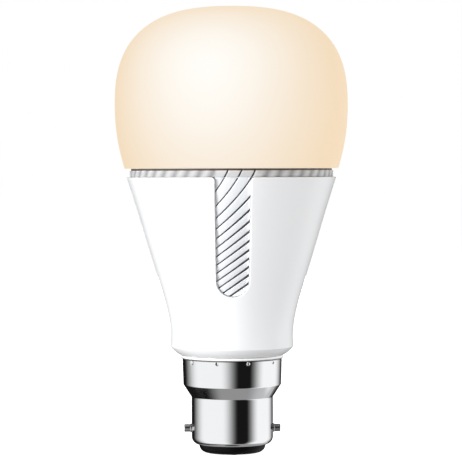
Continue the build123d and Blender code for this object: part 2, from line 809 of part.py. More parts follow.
def engine_disc(z, radius, thickness, hole_r):
    """Round plate with the slots for the wireless module and output pins, and its screw holes."""
    with BuildPart() as disc:
        with BuildSketch(Plane.XY.offset(z)):
            Circle(radius)
            with Locations((0, MODULE_Y)):
                Rectangle(*MODULE_SLOT, mode=Mode.SUBTRACT)
            with Locations((OUTPUT_X, OUTPUT_Y)):
                Rectangle(*OUTPUT_SLOT, mode=Mode.SUBTRACT)
            with PolarLocations(SCREW_RING_R, SCREWS, start_angle=90):
                Circle(hole_r, mode=Mode.SUBTRACT)
        extrude(amount=thickness)
    return disc


with BuildPart() as led_plate:
    add(engine_disc(LEDGE_Z, PLATE_R, PLATE_THICKNESS, SCREW_R).part)
    with BuildSketch(Plane.XY.offset(LEDGE_Z)):
        with PolarLocations(SCREW_RING_R, SCREWS, start_angle=90):
            Circle(SCREW_BOSS_R)
            Circle(SCREW_R, mode=Mode.SUBTRACT)
    extrude(amount=-SCREW_BOSS)
    chamfer(led_plate.edges().group_by(Axis.Z)[-1].sort_by(SortBy.LENGTH)[-1], length=PLATE_CHAMFER)

led_plate.part.label = "led_plate"
export_step(led_plate.part, "parts/led_plate.step")

thermal_pad = engine_disc(PAD_Z, PAD_R, PAD_THICKNESS, SCREW_R + 0.3)
thermal_pad.part.label = "thermal_pad"
export_step(thermal_pad.part, "parts/thermal_pad.step")

led_board = engine_disc(LED_BOARD_Z, LED_BOARD_R, LED_BOARD_THICKNESS, SCREW_R + 0.2)
led_board.part.label = "led_board"
export_step(led_board.part, "parts/led_board.step")

with BuildPart() as led_packages:
    with BuildSketch(Plane.XY.offset(LED_Z)):
        with PolarLocations(LED_RING_R, LEDS, start_angle=90):
            Rectangle(LED_SIZE, LED_SIZE)
    extrude(amount=LED_HEIGHT)
    with BuildSketch(Plane.XY.offset(LED_Z + LED_HEIGHT)):
        with PolarLocations(LED_RING_R, LEDS, start_angle=90):
            Circle(LED_WINDOW_R)
    extrude(amount=-LED_WINDOW_DEPTH, mode=Mode.SUBTRACT)

led_packages.part.label = "led_packages"
export_step(led_packages.part, "parts/led_packages.step")

with BuildPart() as led_phosphors:
    with BuildSketch(Plane.XY.offset(LED_Z + LED_HEIGHT - LED_WINDOW_DEPTH)):
        with PolarLocations(LED_RING_R, LEDS, start_angle=90):
            Circle(LED_WINDOW_R)
    extrude(amount=LED_WINDOW_DEPTH - LED_FILL_GAP)

led_phosphors.part.label = "led_phosphors"
export_step(led_phosphors.part, "parts/led_phosphors.step")

with BuildPart() as led_board_screws:
    with BuildSketch(Plane.XY.offset(LED_Z)):
        with PolarLocations(SCREW_RING_R, SCREWS, start_angle=90):
            Circle(SCREW_R)
    extrude(amount=-(LED_Z - LEDGE_Z + SCREW_BOSS - SCREW_END_GAP))
    with BuildSketch(Plane.XY.offset(LED_Z)):
        with PolarLocations(SCREW_RING_R, SCREWS, start_angle=90):
            Circle(SCREW_HEAD_R)
    extrude(amount=SCREW_HEAD)
    fillet(led_board_screws.edges().group_by(Axis.Z)[-1], radius=SCREW_EDGE)
    with BuildSketch(Plane.XY.offset(LED_Z + SCREW_HEAD)):
        with PolarLocations(SCREW_RING_R, SCREWS, start_angle=90):
            Rectangle(*SCREW_CROSS)
            Rectangle(*reversed(SCREW_CROSS))
    extrude(amount=-SCREW_CROSS_DEPTH, mode=Mode.SUBTRACT)

led_board_screws.part.label = "led_board_screws"
export_step(led_board_screws.part, "parts/led_board_screws.step")

# ---------------------------------------------------------------- output pins and their socket

with BuildPart() as output_header:
    with Locations((OUTPUT_X, OUTPUT_Y, BOARD_TOP_Z + OUTPUT_STRIP / 2)):
        Box(2 * OUTPUT_PITCH, OUTPUT_STRIP_DEPTH, OUTPUT_STRIP)
    for side in (-1, 1):
        with Locations((OUTPUT_X + side * OUTPUT_PITCH / 2, OUTPUT_Y, (OUTPUT_FOOT_Z + OUTPUT_TOP_Z) / 2)):
            Box(OUTPUT_PIN, OUTPUT_PIN, OUTPUT_TOP_Z - OUTPUT_FOOT_Z)

output_header.part.label = "output_header"
export_step(output_header.part, "parts/output_header.step")

with BuildPart() as led_connector:
    with BuildSketch(Plane.XY.offset(LED_Z)):
        with Locations((OUTPUT_X, OUTPUT_Y)):
            Rectangle(OUTPUT_SLOT[0] + CONNECTOR_RIM, OUTPUT_SLOT[1] + CONNECTOR_RIM)
        with Locations(
            (OUTPUT_X - OUTPUT_PITCH / 2, OUTPUT_Y),
            (OUTPUT_X + OUTPUT_PITCH / 2, OUTPUT_Y),
        ):
            Rectangle(OUTPUT_PIN + CONNECTOR_PIN_GAP, OUTPUT_PIN + CONNECTOR_PIN_GAP, mode=Mode.SUBTRACT)
    extrude(amount=CONNECTOR_HEIGHT)
    chamfer(led_connector.edges().group_by(Axis.Z)[-1].sort_by(SortBy.LENGTH)[-4:], length=CONNECTOR_EDGE)

led_connector.part.label = "led_connector"
export_step(led_connector.part, "parts/led_connector.step")

# ---------------------------------------------------------------- driver board

with BuildPart() as driver_board:
    with BuildSketch(Plane.XZ.offset(-BOARD_BACK_Y)):
        with BuildLine():
            Polyline(
                (-BOARD_TAIL_HALF, BOARD_FOOT_Z),
                (BOARD_TAIL_HALF, BOARD_FOOT_Z),
                (BOARD_TAIL_HALF, BOARD_STEP_Z - BOARD_STEP),
                (BOARD_HALF, BOARD_STEP_Z),
                (BOARD_HALF, BOARD_TOP_Z),
                (-BOARD_HALF, BOARD_TOP_Z),
                (-BOARD_HALF, BOARD_STEP_Z),
                (-BOARD_TAIL_HALF, BOARD_STEP_Z - BOARD_STEP),
                close=True,
            )
        make_face()
        # Isolation slot between the mains side and the output side
        with Locations(ISOLATION_PLACE):
            SlotOverall(*ISOLATION_SLOT, mode=Mode.SUBTRACT)
    extrude(amount=BOARD_THICKNESS)

driver_board.part.label = "driver_board"
export_step(driver_board.part, "parts/driver_board.step")


def upright_can(place, y, radius, height):
    """Electrolytic capacitor: a can with a rolled neck near its foot and a scored top."""
    x, foot_z = place
    with BuildPart() as can:
        with BuildSketch(Plane.XY.offset(foot_z)):
            with Locations((x, y)):
                Circle(radius)
        extrude(amount=height)
        fillet(can.edges().group_by(Axis.Z)[-1], radius=CAN_EDGE)
        fillet(can.edges().group_by(Axis.Z)[0], radius=CAN_EDGE)
        with BuildSketch(Plane.XY.offset(foot_z + CAN_NECK_Z)):
            with Locations((x, y)):
                Circle(radius)
                Circle(radius - CAN_NECK_DEPTH, mode=Mode.SUBTRACT)
        extrude(amount=CAN_NECK, mode=Mode.SUBTRACT)
        with BuildSketch(Plane.XY.offset(foot_z + height)):
            with Locations((x, y)):
                Rectangle(1.3 * radius, CAN_SCORE)
                Rectangle(CAN_SCORE, 1.3 * radius)
        extrude(amount=-CAN_SCORE_DEPTH, mode=Mode.SUBTRACT)
    return can


bulk_can_y = BOARD_FRONT_Y - CAN_GAP - BULK_CAN_R
bulk_capacitor = upright_can(BULK_CAN_PLACE, bulk_can_y, BULK_CAN_R, BULK_CAN_HEIGHT)
bulk_capacitor.part.label = "bulk_capacitor"
export_step(bulk_capacitor.part, "parts/bulk_capacitor.step")

output_can_y = BOARD_BACK_Y + OUTPUT_CAN_GAP + OUTPUT_CAN_R
output_capacitor = upright_can(OUTPUT_CAN_PLACE, output_can_y, OUTPUT_CAN_R, OUTPUT_CAN_HEIGHT)
output_capacitor.part.label = "output_capacitor"
export_step(output_capacitor.part, "parts/output_capacitor.step")

fuse_axis = (FUSE_PLACE[0], BOARD_FRONT_Y - FUSE_GAP - FUSE_R)

with BuildPart() as fuse_resistor:
    with BuildSketch(Plane.XY.offset(FUSE_PLACE[1])):
        with Locations(fuse_axis):
            Circle(FUSE_R)
    extrude(amount=FUSE_LENGTH)
    fillet(fuse_resistor.edges(), radius=CAN_EDGE)
    with Locations((*fuse_axis, FUSE_PLACE[1] + FUSE_LENGTH / 2)):
        Cylinder(FUSE_WIRE_R, FUSE_WIRE)

fuse_resistor.part.label = "fuse_resistor"
export_step(fuse_resistor.part, "parts/fuse_resistor.step")

with BuildPart() as surge_varistor:
    with BuildSketch(Plane.XZ.offset(-(BOARD_FRONT_Y - VARISTOR_GAP))):
        with Locations(VARISTOR_PLACE):
            Circle(VARISTOR_R)
    extrude(amount=VARISTOR_THICKNESS)
    fillet(surge_varistor.edges(), radius=VARISTOR_EDGE)

surge_varistor.part.label = "surge_varistor"
export_step(surge_varistor.part, "parts/surge_varistor.step")

choke_axis = (CHOKE_PLACE[0], BOARD_FRONT_Y - CHOKE_GAP - CHOKE_R)
choke_foot_z = CHOKE_PLACE[1]

with BuildPart() as input_choke_core:
    with BuildSketch(Plane.XY.offset(choke_foot_z)):
        with Locations(choke_axis):
            Circle(CHOKE_R)
    extrude(amount=CHOKE_HEIGHT)
    with BuildSketch(Plane.XY.offset(choke_foot_z + CHOKE_FLANGE)):
        with Locations(choke_axis):
            Circle(CHOKE_R)
            Circle(CHOKE_POST_R, mode=Mode.SUBTRACT)
    extrude(amount=CHOKE_HEIGHT - 2 * CHOKE_FLANGE, mode=Mode.SUBTRACT)

input_choke_core.part.label = "input_choke_core"
export_step(input_choke_core.part, "parts/input_choke_core.step")

with BuildPart() as input_choke_winding:
    with BuildSketch(Plane.XY.offset(choke_foot_z + CHOKE_FLANGE + CORE_GAP)):
        with Locations(choke_axis):
            Circle(CHOKE_WIRE_R)
            Circle(CHOKE_POST_R + CORE_GAP, mode=Mode.SUBTRACT)
    extrude(amount=CHOKE_HEIGHT - 2 * CHOKE_FLANGE - 2 * CORE_GAP)

input_choke_winding.part.label = "input_choke_winding"
export_step(input_choke_winding.part, "parts/input_choke_winding.step")

with BuildPart() as film_capacitor:
    with Locations((FILM_PLACE[0], BOARD_FRONT_Y - FILM_GAP - FILM_SIZE[1] / 2, FILM_PLACE[1])):
        Box(*FILM_SIZE)
    fillet(film_capacitor.edges(), radius=FILM_EDGE)

film_capacitor.part.label = "film_capacitor"
export_step(film_capacitor.part, "parts/film_capacitor.step")

# ---------------------------------------------------------------- transformer

transformer_middle = (TRANSFORMER_PLACE[0], BOARD_FRONT_Y - TRANSFORMER_OUT, TRANSFORMER_PLACE[1])

with BuildPart() as transformer_core:
    with Locations(transformer_middle):
        Box(*TRANSFORMER_CORE)
        Box(*TRANSFORMER_OPENING, mode=Mode.SUBTRACT)
        Box(TRANSFORMER_POST, *TRANSFORMER_CORE[1:])

transformer_core.part.label = "transformer_core"
export_step(transformer_core.part, "parts/transformer_core.step")

with BuildPart() as transformer_bobbin:
    with Locations(transformer_middle):
        with Locations((0, 0, -BOBBIN_FLANGE_Z), (0, 0, BOBBIN_FLANGE_Z)):
            Box(*BOBBIN_FLANGE)
        Box(*BOBBIN_TUBE)
        Box(*BOBBIN_HOLE, mode=Mode.SUBTRACT)

transformer_bobbin.part.label = "transformer_bobbin"
export_step(transformer_bobbin.part, "parts/transformer_bobbin.step")

with BuildPart() as transformer_winding:
    with BuildSketch(Plane.XY.offset(transformer_middle[2] - WINDING_SIZE[2] / 2)):
        with Locations(transformer_middle[:2]):
            RectangleRounded(*WINDING_SIZE[:2], WINDING_CORNER_R)
            Rectangle(*WINDING_HOLE, mode=Mode.SUBTRACT)
    extrude(amount=WINDING_SIZE[2])

transformer_winding.part.label = "transformer_winding"
export_step(transformer_winding.part, "parts/transformer_winding.step")

# ---------------------------------------------------------------- small parts on the board's back

with BuildPart() as bridge_rectifier:
    back_block(BRIDGE_SIZE, BRIDGE_PLACE, PACKAGE_LIFT)
    gull_legs(BRIDGE_PLACE, BRIDGE_LEGS, BRIDGE_PITCH)

bridge_rectifier.part.label = "bridge_rectifier"
export_step(bridge_rectifier.part, "parts/bridge_rectifier.step")

with BuildPart() as driver_ic:
    back_block(IC_SIZE, IC_PLACE, IC_LIFT)
    gull_legs(IC_PLACE, IC_LEGS, IC_PITCH)
    with Locations((IC_MARK_PLACE[0], BOARD_BACK_Y + IC_LIFT + IC_SIZE[1], IC_MARK_PLACE[1])):
        Cylinder(IC_MARK_R, 2 * IC_MARK_DEPTH, rotation=(90, 0, 0), mode=Mode.SUBTRACT)

driver_ic.part.label = "driver_ic"
export_step(driver_ic.part, "parts/driver_ic.step")

with BuildPart() as power_transistor:
    back_block(TRANSISTOR_SIZE, TRANSISTOR_PLACE, PACKAGE_LIFT)
    back_block(TRANSISTOR_TAB, (TRANSISTOR_PLACE[0], TRANSISTOR_TAB_Z))
    for side in (-1, 1):
        back_block(TRANSISTOR_LEG, (TRANSISTOR_PLACE[0] + side * TRANSISTOR_LEG_REACH, TRANSISTOR_LEG_Z))

power_transistor.part.label = "power_transistor"
export_step(power_transistor.part, "parts/power_transistor.step")

with BuildPart() as output_diode:
    back_block(DIODE_SIZE, DIODE_PLACE, DIODE_LIFT)
    back_block(DIODE_TAB, DIODE_PLACE)

output_diode.part.label = "output_diode"
export_step(output_diode.part, "parts/output_diode.step")

with BuildPart() as chip_resistors:
    for place in RESISTOR_PLACES:
        back_block(RESISTOR_SIZE, place)

chip_resistors.part.label = "chip_resistors"
export_step(chip_resistors.part, "parts/chip_resistors.step")

with BuildPart() as chip_capacitors:
    for place in CHIP_CAPACITOR_PLACES:
        back_block(CHIP_CAPACITOR_SIZE, place)

chip_capacitors.part.label = "chip_capacitors"
export_step(chip_capacitors.part, "parts/chip_capacitors.step")

# ---------------------------------------------------------------- wireless module

module_front_y = MODULE_Y - MODULE_THICKNESS / 2
module_back_y = MODULE_Y + MODULE_THICKNESS / 2

with BuildPart() as wireless_module:
    with BuildSketch(Plane.XZ.offset(-module_back_y)):
        with Locations((0, (MODULE_FOOT_Z + MODULE_TOP_Z) / 2)):
            Rectangle(MODULE_WIDTH, MODULE_TOP_Z - MODULE_FOOT_Z)
        with Locations((0, MODULE_PINS_Z)):
            with GridLocations(MODULE_PIN_PITCH, MODULE_PIN_PITCH, MODULE_PINS, 1):
                Circle(MODULE_PIN_HOLE_R, mode=Mode.SUBTRACT)
    extrude(amount=MODULE_THICKNESS)

wireless_module.part.label = "wireless_module"
export_step(wireless_module.part, "parts/wireless_module.step")

with BuildPart() as module_header:
    with Locations((0, (module_back_y + BOARD_FRONT_Y) / 2, MODULE_PINS_Z)):
        Box(MODULE_PIN_PITCH * MODULE_PINS, BOARD_FRONT_Y - module_back_y, MODULE_PIN_PITCH)
    with BuildSketch(Plane.XZ.offset(-BOARD_FRONT_Y)):
        with Locations((0, MODULE_PINS_Z)):
            with GridLocations(MODULE_PIN_PITCH, MODULE_PIN_PITCH, MODULE_PINS, 1):
                Circle(MODULE_PIN_R)
    extrude(amount=BOARD_FRONT_Y - module_front_y)

module_header.part.label = "module_header"
export_step(module_header.part, "parts/module_header.step")

shield_z = (SHIELD_FOOT_Z + SHIELD_TOP_Z) / 2
shield_height = SHIELD_TOP_Z - SHIELD_FOOT_Z

with BuildPart() as wireless_shield:
    with Locations((0, module_front_y - SHIELD_DEPTH / 2, shield_z)):
        Box(SHIELD_WIDTH, SHIELD_DEPTH, shield_height)
    fillet(wireless_shield.edges().group_by(Axis.Y)[0], radius=SHIELD_EDGE)
    with BuildSketch(Plane.XZ.offset(-module_front_y)):
        with Locations((0, shield_z)):
            Rectangle(SHIELD_WIDTH - 2 * SHIELD_SHEET, shield_height - 2 * SHIELD_SHEET)
    extrude(amount=SHIELD_DEPTH - 2 * SHIELD_SHEET, mode=Mode.SUBTRACT)

wireless_shield.part.label = "wireless_shield"
export_step(wireless_shield.part, "parts/wireless_shield.step")

with BuildPart() as wireless_antenna:
    with BuildSketch(Plane.XZ.offset(-module_front_y)):
        for number in range(ANTENNA_LEGS):
            with Locations((ANTENNA_X + ANTENNA_PITCH * number, ANTENNA_Z)):
                Rectangle(ANTENNA_TRACK, ANTENNA_HEIGHT)
        for number in range(ANTENNA_LEGS - 1):
            end_z = (ANTENNA_HEIGHT - ANTENNA_TRACK) / 2 * (1 if number % 2 else -1)
            with Locations((ANTENNA_X + ANTENNA_PITCH * (number + 0.5), ANTENNA_Z + end_z)):
                Rectangle(ANTENNA_PITCH + ANTENNA_TRACK, ANTENNA_TRACK)
    extrude(amount=ANTENNA_COPPER)

wireless_antenna.part.label = "wireless_antenna"
export_step(wireless_antenna.part, "parts/wireless_antenna.step")
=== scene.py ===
import json
import math

import bmesh
import bpy
import numpy as np
from mathutils import Matrix, Vector


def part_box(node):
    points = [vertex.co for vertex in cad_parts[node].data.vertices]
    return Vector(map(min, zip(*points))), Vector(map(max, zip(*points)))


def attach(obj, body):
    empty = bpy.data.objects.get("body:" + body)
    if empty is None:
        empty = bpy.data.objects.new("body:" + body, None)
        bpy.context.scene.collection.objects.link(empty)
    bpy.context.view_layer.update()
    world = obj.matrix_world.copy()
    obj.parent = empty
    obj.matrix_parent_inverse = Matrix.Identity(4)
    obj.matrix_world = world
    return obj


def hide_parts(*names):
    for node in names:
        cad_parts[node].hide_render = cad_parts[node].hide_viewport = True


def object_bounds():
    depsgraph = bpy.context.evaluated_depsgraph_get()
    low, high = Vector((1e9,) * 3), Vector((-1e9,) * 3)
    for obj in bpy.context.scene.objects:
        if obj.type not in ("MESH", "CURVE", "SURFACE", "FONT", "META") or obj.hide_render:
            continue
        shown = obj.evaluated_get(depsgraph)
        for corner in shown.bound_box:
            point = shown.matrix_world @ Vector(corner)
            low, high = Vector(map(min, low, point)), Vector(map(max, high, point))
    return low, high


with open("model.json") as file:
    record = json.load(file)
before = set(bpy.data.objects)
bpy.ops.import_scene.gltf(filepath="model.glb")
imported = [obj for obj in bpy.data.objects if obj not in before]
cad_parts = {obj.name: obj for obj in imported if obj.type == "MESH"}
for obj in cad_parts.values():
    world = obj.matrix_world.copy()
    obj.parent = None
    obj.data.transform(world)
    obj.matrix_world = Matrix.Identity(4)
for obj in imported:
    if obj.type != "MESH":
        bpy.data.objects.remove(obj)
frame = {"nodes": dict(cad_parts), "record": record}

# A wireless LED lamp with a B22d cap. Shapes are worked out in millimetres in the CAD frame (+Z up the lamp's
# axis, +X along the bayonet pins, -Y the front) and turned into metres when a mesh is made.

MM = 0.001
cad_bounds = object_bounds()

# ---------------------------------------------------------------- driving dimensions

# Opal globe: radius and height of its outline from the rim up, as in the CAD model
GLOBE_OUTLINE = [
    (28.85, 76.8), (30.77, 85.0), (31.42, 94.7), (30.8, 102.0), (28.15, 109.3), (22.05, 115.7), (13.2, 119.3),
    (0, 120.35),
]
GLOBE_SKIN = 0.012
GLOBE_WALL = 1.6
GLOBE_SPIGOT_R = 25.0
GLOBE_SPIGOT_WALL = 1.2
GLOBE_SPIGOT_Z = 73.6
GLOBE_STEP_Z = 78.3

# White sleeve: radius and height of its outline from the bevel up to its top edge. The bevel curves towards
# BEVEL_SWELL on its way in to the foot.
SLEEVE_OUTLINE = [(16.65, 28.8), (16.5, 31.5), (17.4, 38.4), (20.55, 49.3), (24.45, 62.3), (28.25, 74.5)]
SLEEVE_WALL = 1.1
SLEEVE_FOOT_R = 14.05
SLEEVE_FOOT_Z = 26.6
SLEEVE_HOLE_R = 13.4
SLEEVE_FLOOR_Z = 28.2
SLEEVE_EDGE = 0.28
BEVEL_SWELL = (15.62, 27.4)
FIELD_Z = 37.0

# Windows
WINDOW_TURNS = 3
WINDOW_TOP_HALF = 4.75
WINDOW_LOW_HALF = 4.4
WINDOW_LOW_Z = 43.0
WINDOW_CORNER = 1.0

# Ribbed core
CORE_INSET = 1.45
CORE_WALL = 1.3
CORE_FOOT_Z = 28.25
CORE_LEDGE_Z = 72.0
CORE_SOCKET_R = 25.1
CORE_SEAL_R = 26.3
CORE_SEAL_Z = 76.2
PAD_INSET = 0.72
PAD_GAP = 0.12
PAD_DEPTH = 1.0
BAND_R = 27.48
BAND_TOP_Z = 76.78
BAND_LIP_Z = 76.25
BAND_LIP = 0.35
RIBS = 48
RIB_LEAN = 3.565 / 30
GROOVE_DEPTH = 0.6

# Cap, to the B22d standard
CAP_R = 11.0
CAP_WALL = 0.35
CAP_CURL_R = 2.0
CAP_CURL_Z = 2.3
CAP_TAPER_Z = 15.1
CAP_COLLAR_Z = 18.5
CAP_TOP_Z = 25.7
CAP_COLLAR_R = 13.2
CAP_TOP_R = 13.45
CRIMPS = 10
CRIMP_Z = 24.9
CRIMP_START = math.radians(-72)
CRIMP_R = 0.5
CRIMP_DEPTH = 0.3
CRIMP_REACH = 0.84
CRIMP_STEP = 0.12
# Height over which the seams above the cap get a painted shadow
SEAM_SHADOW = 0.28

# Bayonet pins: turned shank, and the collar where they leave the cap
PIN_R = 1.03
PIN_COLLAR_R = 1.16
PIN_HEAD_R = 1.4

sleeve_top_z = SLEEVE_OUTLINE[-1][1]

# ---------------------------------------------------------------- curves and meshes


def smooth_curve(points, count, start=None, end=None):
    """Even points on a cubic spline through the given ones. start and end are directions at its ends."""
    p = np.array(points, float)
    h = np.linalg.norm(np.diff(p, axis=0), axis=1)
    n = len(p)
    system = np.zeros((n, n))
    right = np.zeros((n, 2))
    for i in range(1, n - 1):
        system[i, i - 1 : i + 2] = h[i], 2 * (h[i - 1] + h[i]), h[i - 1]
        right[i] = 3 * (h[i] * (p[i] - p[i - 1]) / h[i - 1] + h[i - 1] * (p[i + 1] - p[i]) / h[i])
    for row, beside, direction, span in ((0, 1, start, h[0]), (n - 1, n - 2, end, h[-1])):
        system[row, row] = 1.0
        if direction is None:
            system[row, beside] = 0.5
            right[row] = 1.5 * abs(row - beside) * (p[max(row, beside)] - p[min(row, beside)]) / span
        else:
            right[row] = np.array(direction, float) / np.linalg.norm(direction)
    slope = np.linalg.solve(system, right)
    ends = np.concatenate([[0], np.cumsum(h)])
    where = np.linspace(0, ends[-1], count)
    span = np.clip(np.searchsorted(ends, where, side="right") - 1, 0, n - 2)
    t = ((where - ends[span]) / h[span])[:, None]
    step = h[span][:, None]
    return (
        (2 * t**3 - 3 * t**2 + 1) * p[span]
        + (t**3 - 2 * t**2 + t) * step * slope[span]
        + (3 * t**2 - 2 * t**3) * p[span + 1]
        + (t**3 - t**2) * step * slope[span + 1]
    )


def inset(curve, distance):
    """The line that runs at a distance inside a profile that goes upwards."""
    along = np.gradient(curve, axis=0)
    along /= np.linalg.norm(along, axis=1)[:, None]
    return curve + distance * np.stack([-along[:, 1], along[:, 0]], axis=1)


def rounded(corners, steps=4):
    """Outline through (r, z, radius) corners, each rounded to its radius. Its two ends stay sharp.

    A point close beside each rounding keeps the shading of the walls between them straight.
    """
    outline = [corners[0][:2]]
    for before, corner, after in zip(corners, corners[1:], corners[2:]):
        at = np.array(corner[:2], float)
        to_before = np.array(before[:2]) - at
        to_after = np.array(after[:2]) - at
        size_before, size_after = np.linalg.norm(to_before), np.linalg.norm(to_after)
        to_before, to_after = to_before / size_before, to_after / size_after
        half = math.acos(np.clip(to_before @ to_after, -1, 1)) / 2
        if corner[2] == 0 or half > math.radians(89):
            outline.append(tuple(at))
            continue
        reach = min(corner[2] / math.tan(half), 0.42 * size_before, 0.42 * size_after)
        radius = reach * math.tan(half)
        middle = (to_before + to_after) / np.linalg.norm(to_before + to_after)
        centre = at + middle * radius / math.sin(half)
        first, last = at + to_before * reach - centre, at + to_after * reach - centre
        beside = 0.15 * reach
        outline.append(tuple(at + to_before * (reach + beside)))
        for step in range(steps + 1):
            spoke = first * (1 - step / steps) + last * step / steps
            outline.append(tuple(centre + spoke * radius / np.linalg.norm(spoke)))
        outline.append(tuple(at + to_after * (reach + beside)))
    outline.append(corners[-1][:2])
    return np.array(outline)


def radius_at(curve, z):
    """Radius of a rising profile at a height or an array of heights."""
    return np.interp(z, curve[:, 1], curve[:, 0])


def ring_points(radius, z, angle):
    """Points around the axis, in millimetres, from arrays of radius, height and angle."""
    return np.stack(np.broadcast_arrays(radius * np.cos(angle), radius * np.sin(angle), z), axis=-1)


class MeshMaker:
    """Collects grids of points into one clean mesh."""

    def __init__(self):
        self.points = []
        self.faces = []
        self.marks = []
        self.marked = False

    def grid(self, points, wrap=False, marks=None):
        """Adds a grid of rows and columns. wrap joins the last column to the first."""
        rows, columns = points.shape[:2]
        base = sum(len(p) for p in self.points)
        self.points.append(points.reshape(-1, 3))
        self.marks.append(np.zeros(rows * columns) if marks is None else marks.reshape(-1))
        self.marked = self.marked or marks is not None
        for row in range(rows - 1):
            for column in range(columns if wrap else columns - 1):
                beside = (column + 1) % columns
                low, high = base + row * columns, base + (row + 1) * columns
                self.faces.append((low + column, low + beside, high + beside, high + column))

    def build(self, name, sharp=35.0, weld=2e-4):
        """Makes the object: welded, with its faces turned outwards and its sharp edges marked."""
        mesh = bpy.data.meshes.new(name)
        mesh.from_pydata(np.concatenate(self.points) * MM, [], self.faces)
        # marks go on the mesh as the 'groove' value, which the rib material turns into painted shade
        if self.marked:
            marks = mesh.attributes.new("groove", "FLOAT", "POINT")
            marks.data.foreach_set("value", np.concatenate(self.marks).astype(np.float32))
        work = bmesh.new()
        work.from_mesh(mesh)
        bmesh.ops.remove_doubles(work, verts=work.verts, dist=weld * MM)
        bmesh.ops.dissolve_degenerate(work, edges=work.edges, dist=weld * MM)
        bmesh.ops.recalc_face_normals(work, faces=work.faces)
        work.to_mesh(mesh)
        work.free()
        mesh.shade_smooth()
        mesh.set_sharp_from_angle(angle=math.radians(sharp))
        piece = bpy.data.objects.new(name, mesh)
        bpy.context.scene.collection.objects.link(piece)
        return piece


def lathe(maker, outline, columns, closed=True):
    """Turns an outline of (r, z) around the axis into a grid."""
    outline = np.array(outline, float)
    if closed:
        outline = np.concatenate([outline, outline[:1]])
    angle = np.linspace(0, 2 * math.pi, columns, endpoint=False)
    maker.grid(ring_points(outline[:, :1], outline[:, 1:], angle[None, :]), wrap=True)


# ---------------------------------------------------------------- materials


def principled(name, colour, roughness, metallic=0.0, **values):
    """Node material with one Principled shader. Values that are the same all over go on its own sockets."""
    material = bpy.data.materials.new(name)
    material.use_nodes = True
    shader = material.node_tree.nodes["Principled BSDF"]
    shader.inputs["Base Color"].default_value = (*colour, 1)
    shader.inputs["Roughness"].default_value = roughness
    shader.inputs["Metallic"].default_value = metallic
    for socket, value in values.items():
        shader.inputs[socket.replace("_", " ")].default_value = value
    return material


def add_node(material, kind, **values):
    node = material.node_tree.nodes.new(kind)
    for name, value in values.items():
        if hasattr(node, name):
            setattr(node, name, value)
        else:
            node.inputs[name.replace("_", " ")].default_value = value
    return node


def link(material, out, into):
    material.node_tree.links.new(out, into)


def place(material, scale=(1, 1, 1)):
    """The piece's own coordinates in metres, stretched by scale."""
    source = add_node(material, "ShaderNodeTexCoord")
    mapping = add_node(material, "ShaderNodeMapping", Scale=scale)
    link(material, source.outputs["Object"], mapping.inputs["Vector"])
    return mapping.outputs["Vector"]


def noise(material, scale, detail=3.0, rough=0.5, stretch=(1, 1, 1)):
    texture = add_node(material, "ShaderNodeTexNoise", Scale=scale, Detail=detail, Roughness=rough)
    link(material, place(material, stretch), texture.inputs["Vector"])
    return texture.outputs["Fac"]


def remap(material, value, low, high, from_low=0.0, from_high=1.0):
    node = add_node(material, "ShaderNodeMapRange")
    for socket, number in zip(("From Min", "From Max", "To Min", "To Max"), (from_low, from_high, low, high)):
        node.inputs[socket].default_value = number
    link(material, value, node.inputs["Value"])
    return node.outputs["Result"]


def mix(material, factor, first, second):
    """Colour mix. first and second are colours or sockets."""
    node = add_node(material, "ShaderNodeMix", data_type="RGBA")
    for slot, value in ((6, first), (7, second)):
        if isinstance(value, bpy.types.NodeSocket):
            link(material, value, node.inputs[slot])
        else:
            node.inputs[slot].default_value = (*value, 1)
    link(material, factor, node.inputs[0])
    return node.outputs[2]


def set_colour(material, socket):
    link(material, socket, material.node_tree.nodes["Principled BSDF"].inputs["Base Color"])


def set_roughness(material, socket):
    link(material, socket, material.node_tree.nodes["Principled BSDF"].inputs["Roughness"])


def set_bump(material, height, strength, distance):
    bump = add_node(material, "ShaderNodeBump", Strength=strength, Distance=distance)
    link(material, height, bump.inputs["Height"])
    link(material, bump.outputs["Normal"], material.node_tree.nodes["Principled BSDF"].inputs["Normal"])


def darker(colour, share):
    return tuple(channel * share for channel in colour)


def moulded(name, colour, roughness, depth=0.00002, mottle=0.97, **values):
    """Moulded plastic, rubber or lacquer: a fine grain, faint mottling and uneven gloss."""
    material = principled(name, colour, roughness, **values)
    broad = noise(material, 90.0, 4.0)
    fine = noise(material, 2600.0, 2.0)
    set_colour(material, mix(material, broad, darker(colour, mottle), colour))
    set_roughness(material, remap(material, broad, roughness - 0.04, roughness + 0.05))
    set_bump(material, fine, 0.25, depth)
    return material


def brushed(name, colour, roughness, stretch=(1, 1, 30), **values):
    """Bare or plated metal with fine drawing marks across its stretch."""
    material = principled(name, colour, roughness, 1.0, **values)
    marks = noise(material, 180.0, 5.0, 0.6, stretch)
    cloud = noise(material, 120.0, 3.0)
    set_colour(material, mix(material, cloud, darker(colour, 0.93), colour))
    set_roughness(material, remap(material, marks, roughness - 0.03, roughness + 0.06))
    set_bump(material, marks, 0.12, 0.00001)
    return material


def granular(name, colour, roughness, grain=1500.0, **values):
    """Sintered, fired or filled material with visible grains."""
    material = principled(name, colour, roughness, **values)
    cells = add_node(material, "ShaderNodeTexVoronoi", Scale=grain)
    link(material, place(material), cells.inputs["Vector"])
    tone = remap(material, cells.outputs["Distance"], 0.0, 1.0, 0.0, 0.7)
    set_colour(material, mix(material, tone, darker(colour, 0.7), colour))
    set_bump(material, cells.outputs["Distance"], 0.3, 0.00004)
    return material


def wound(name, colour, roughness, turn, metallic=0.0):
    """Turns of wire or tape, one above the other. The colour darkens where the turns meet: painted shade in the
    crevices between them.
    """
    material = principled(name, colour, roughness, metallic)
    scale = 0.5 / (turn * MM) / math.pi
    bands = add_node(material, "ShaderNodeTexWave", bands_direction="Z", Scale=scale, Distortion=0.3)
    link(material, place(material), bands.inputs["Vector"])
    set_colour(material, mix(material, bands.outputs["Fac"], darker(colour, 0.45), colour))
    set_bump(material, bands.outputs["Fac"], 0.8, 0.00012)
    return material


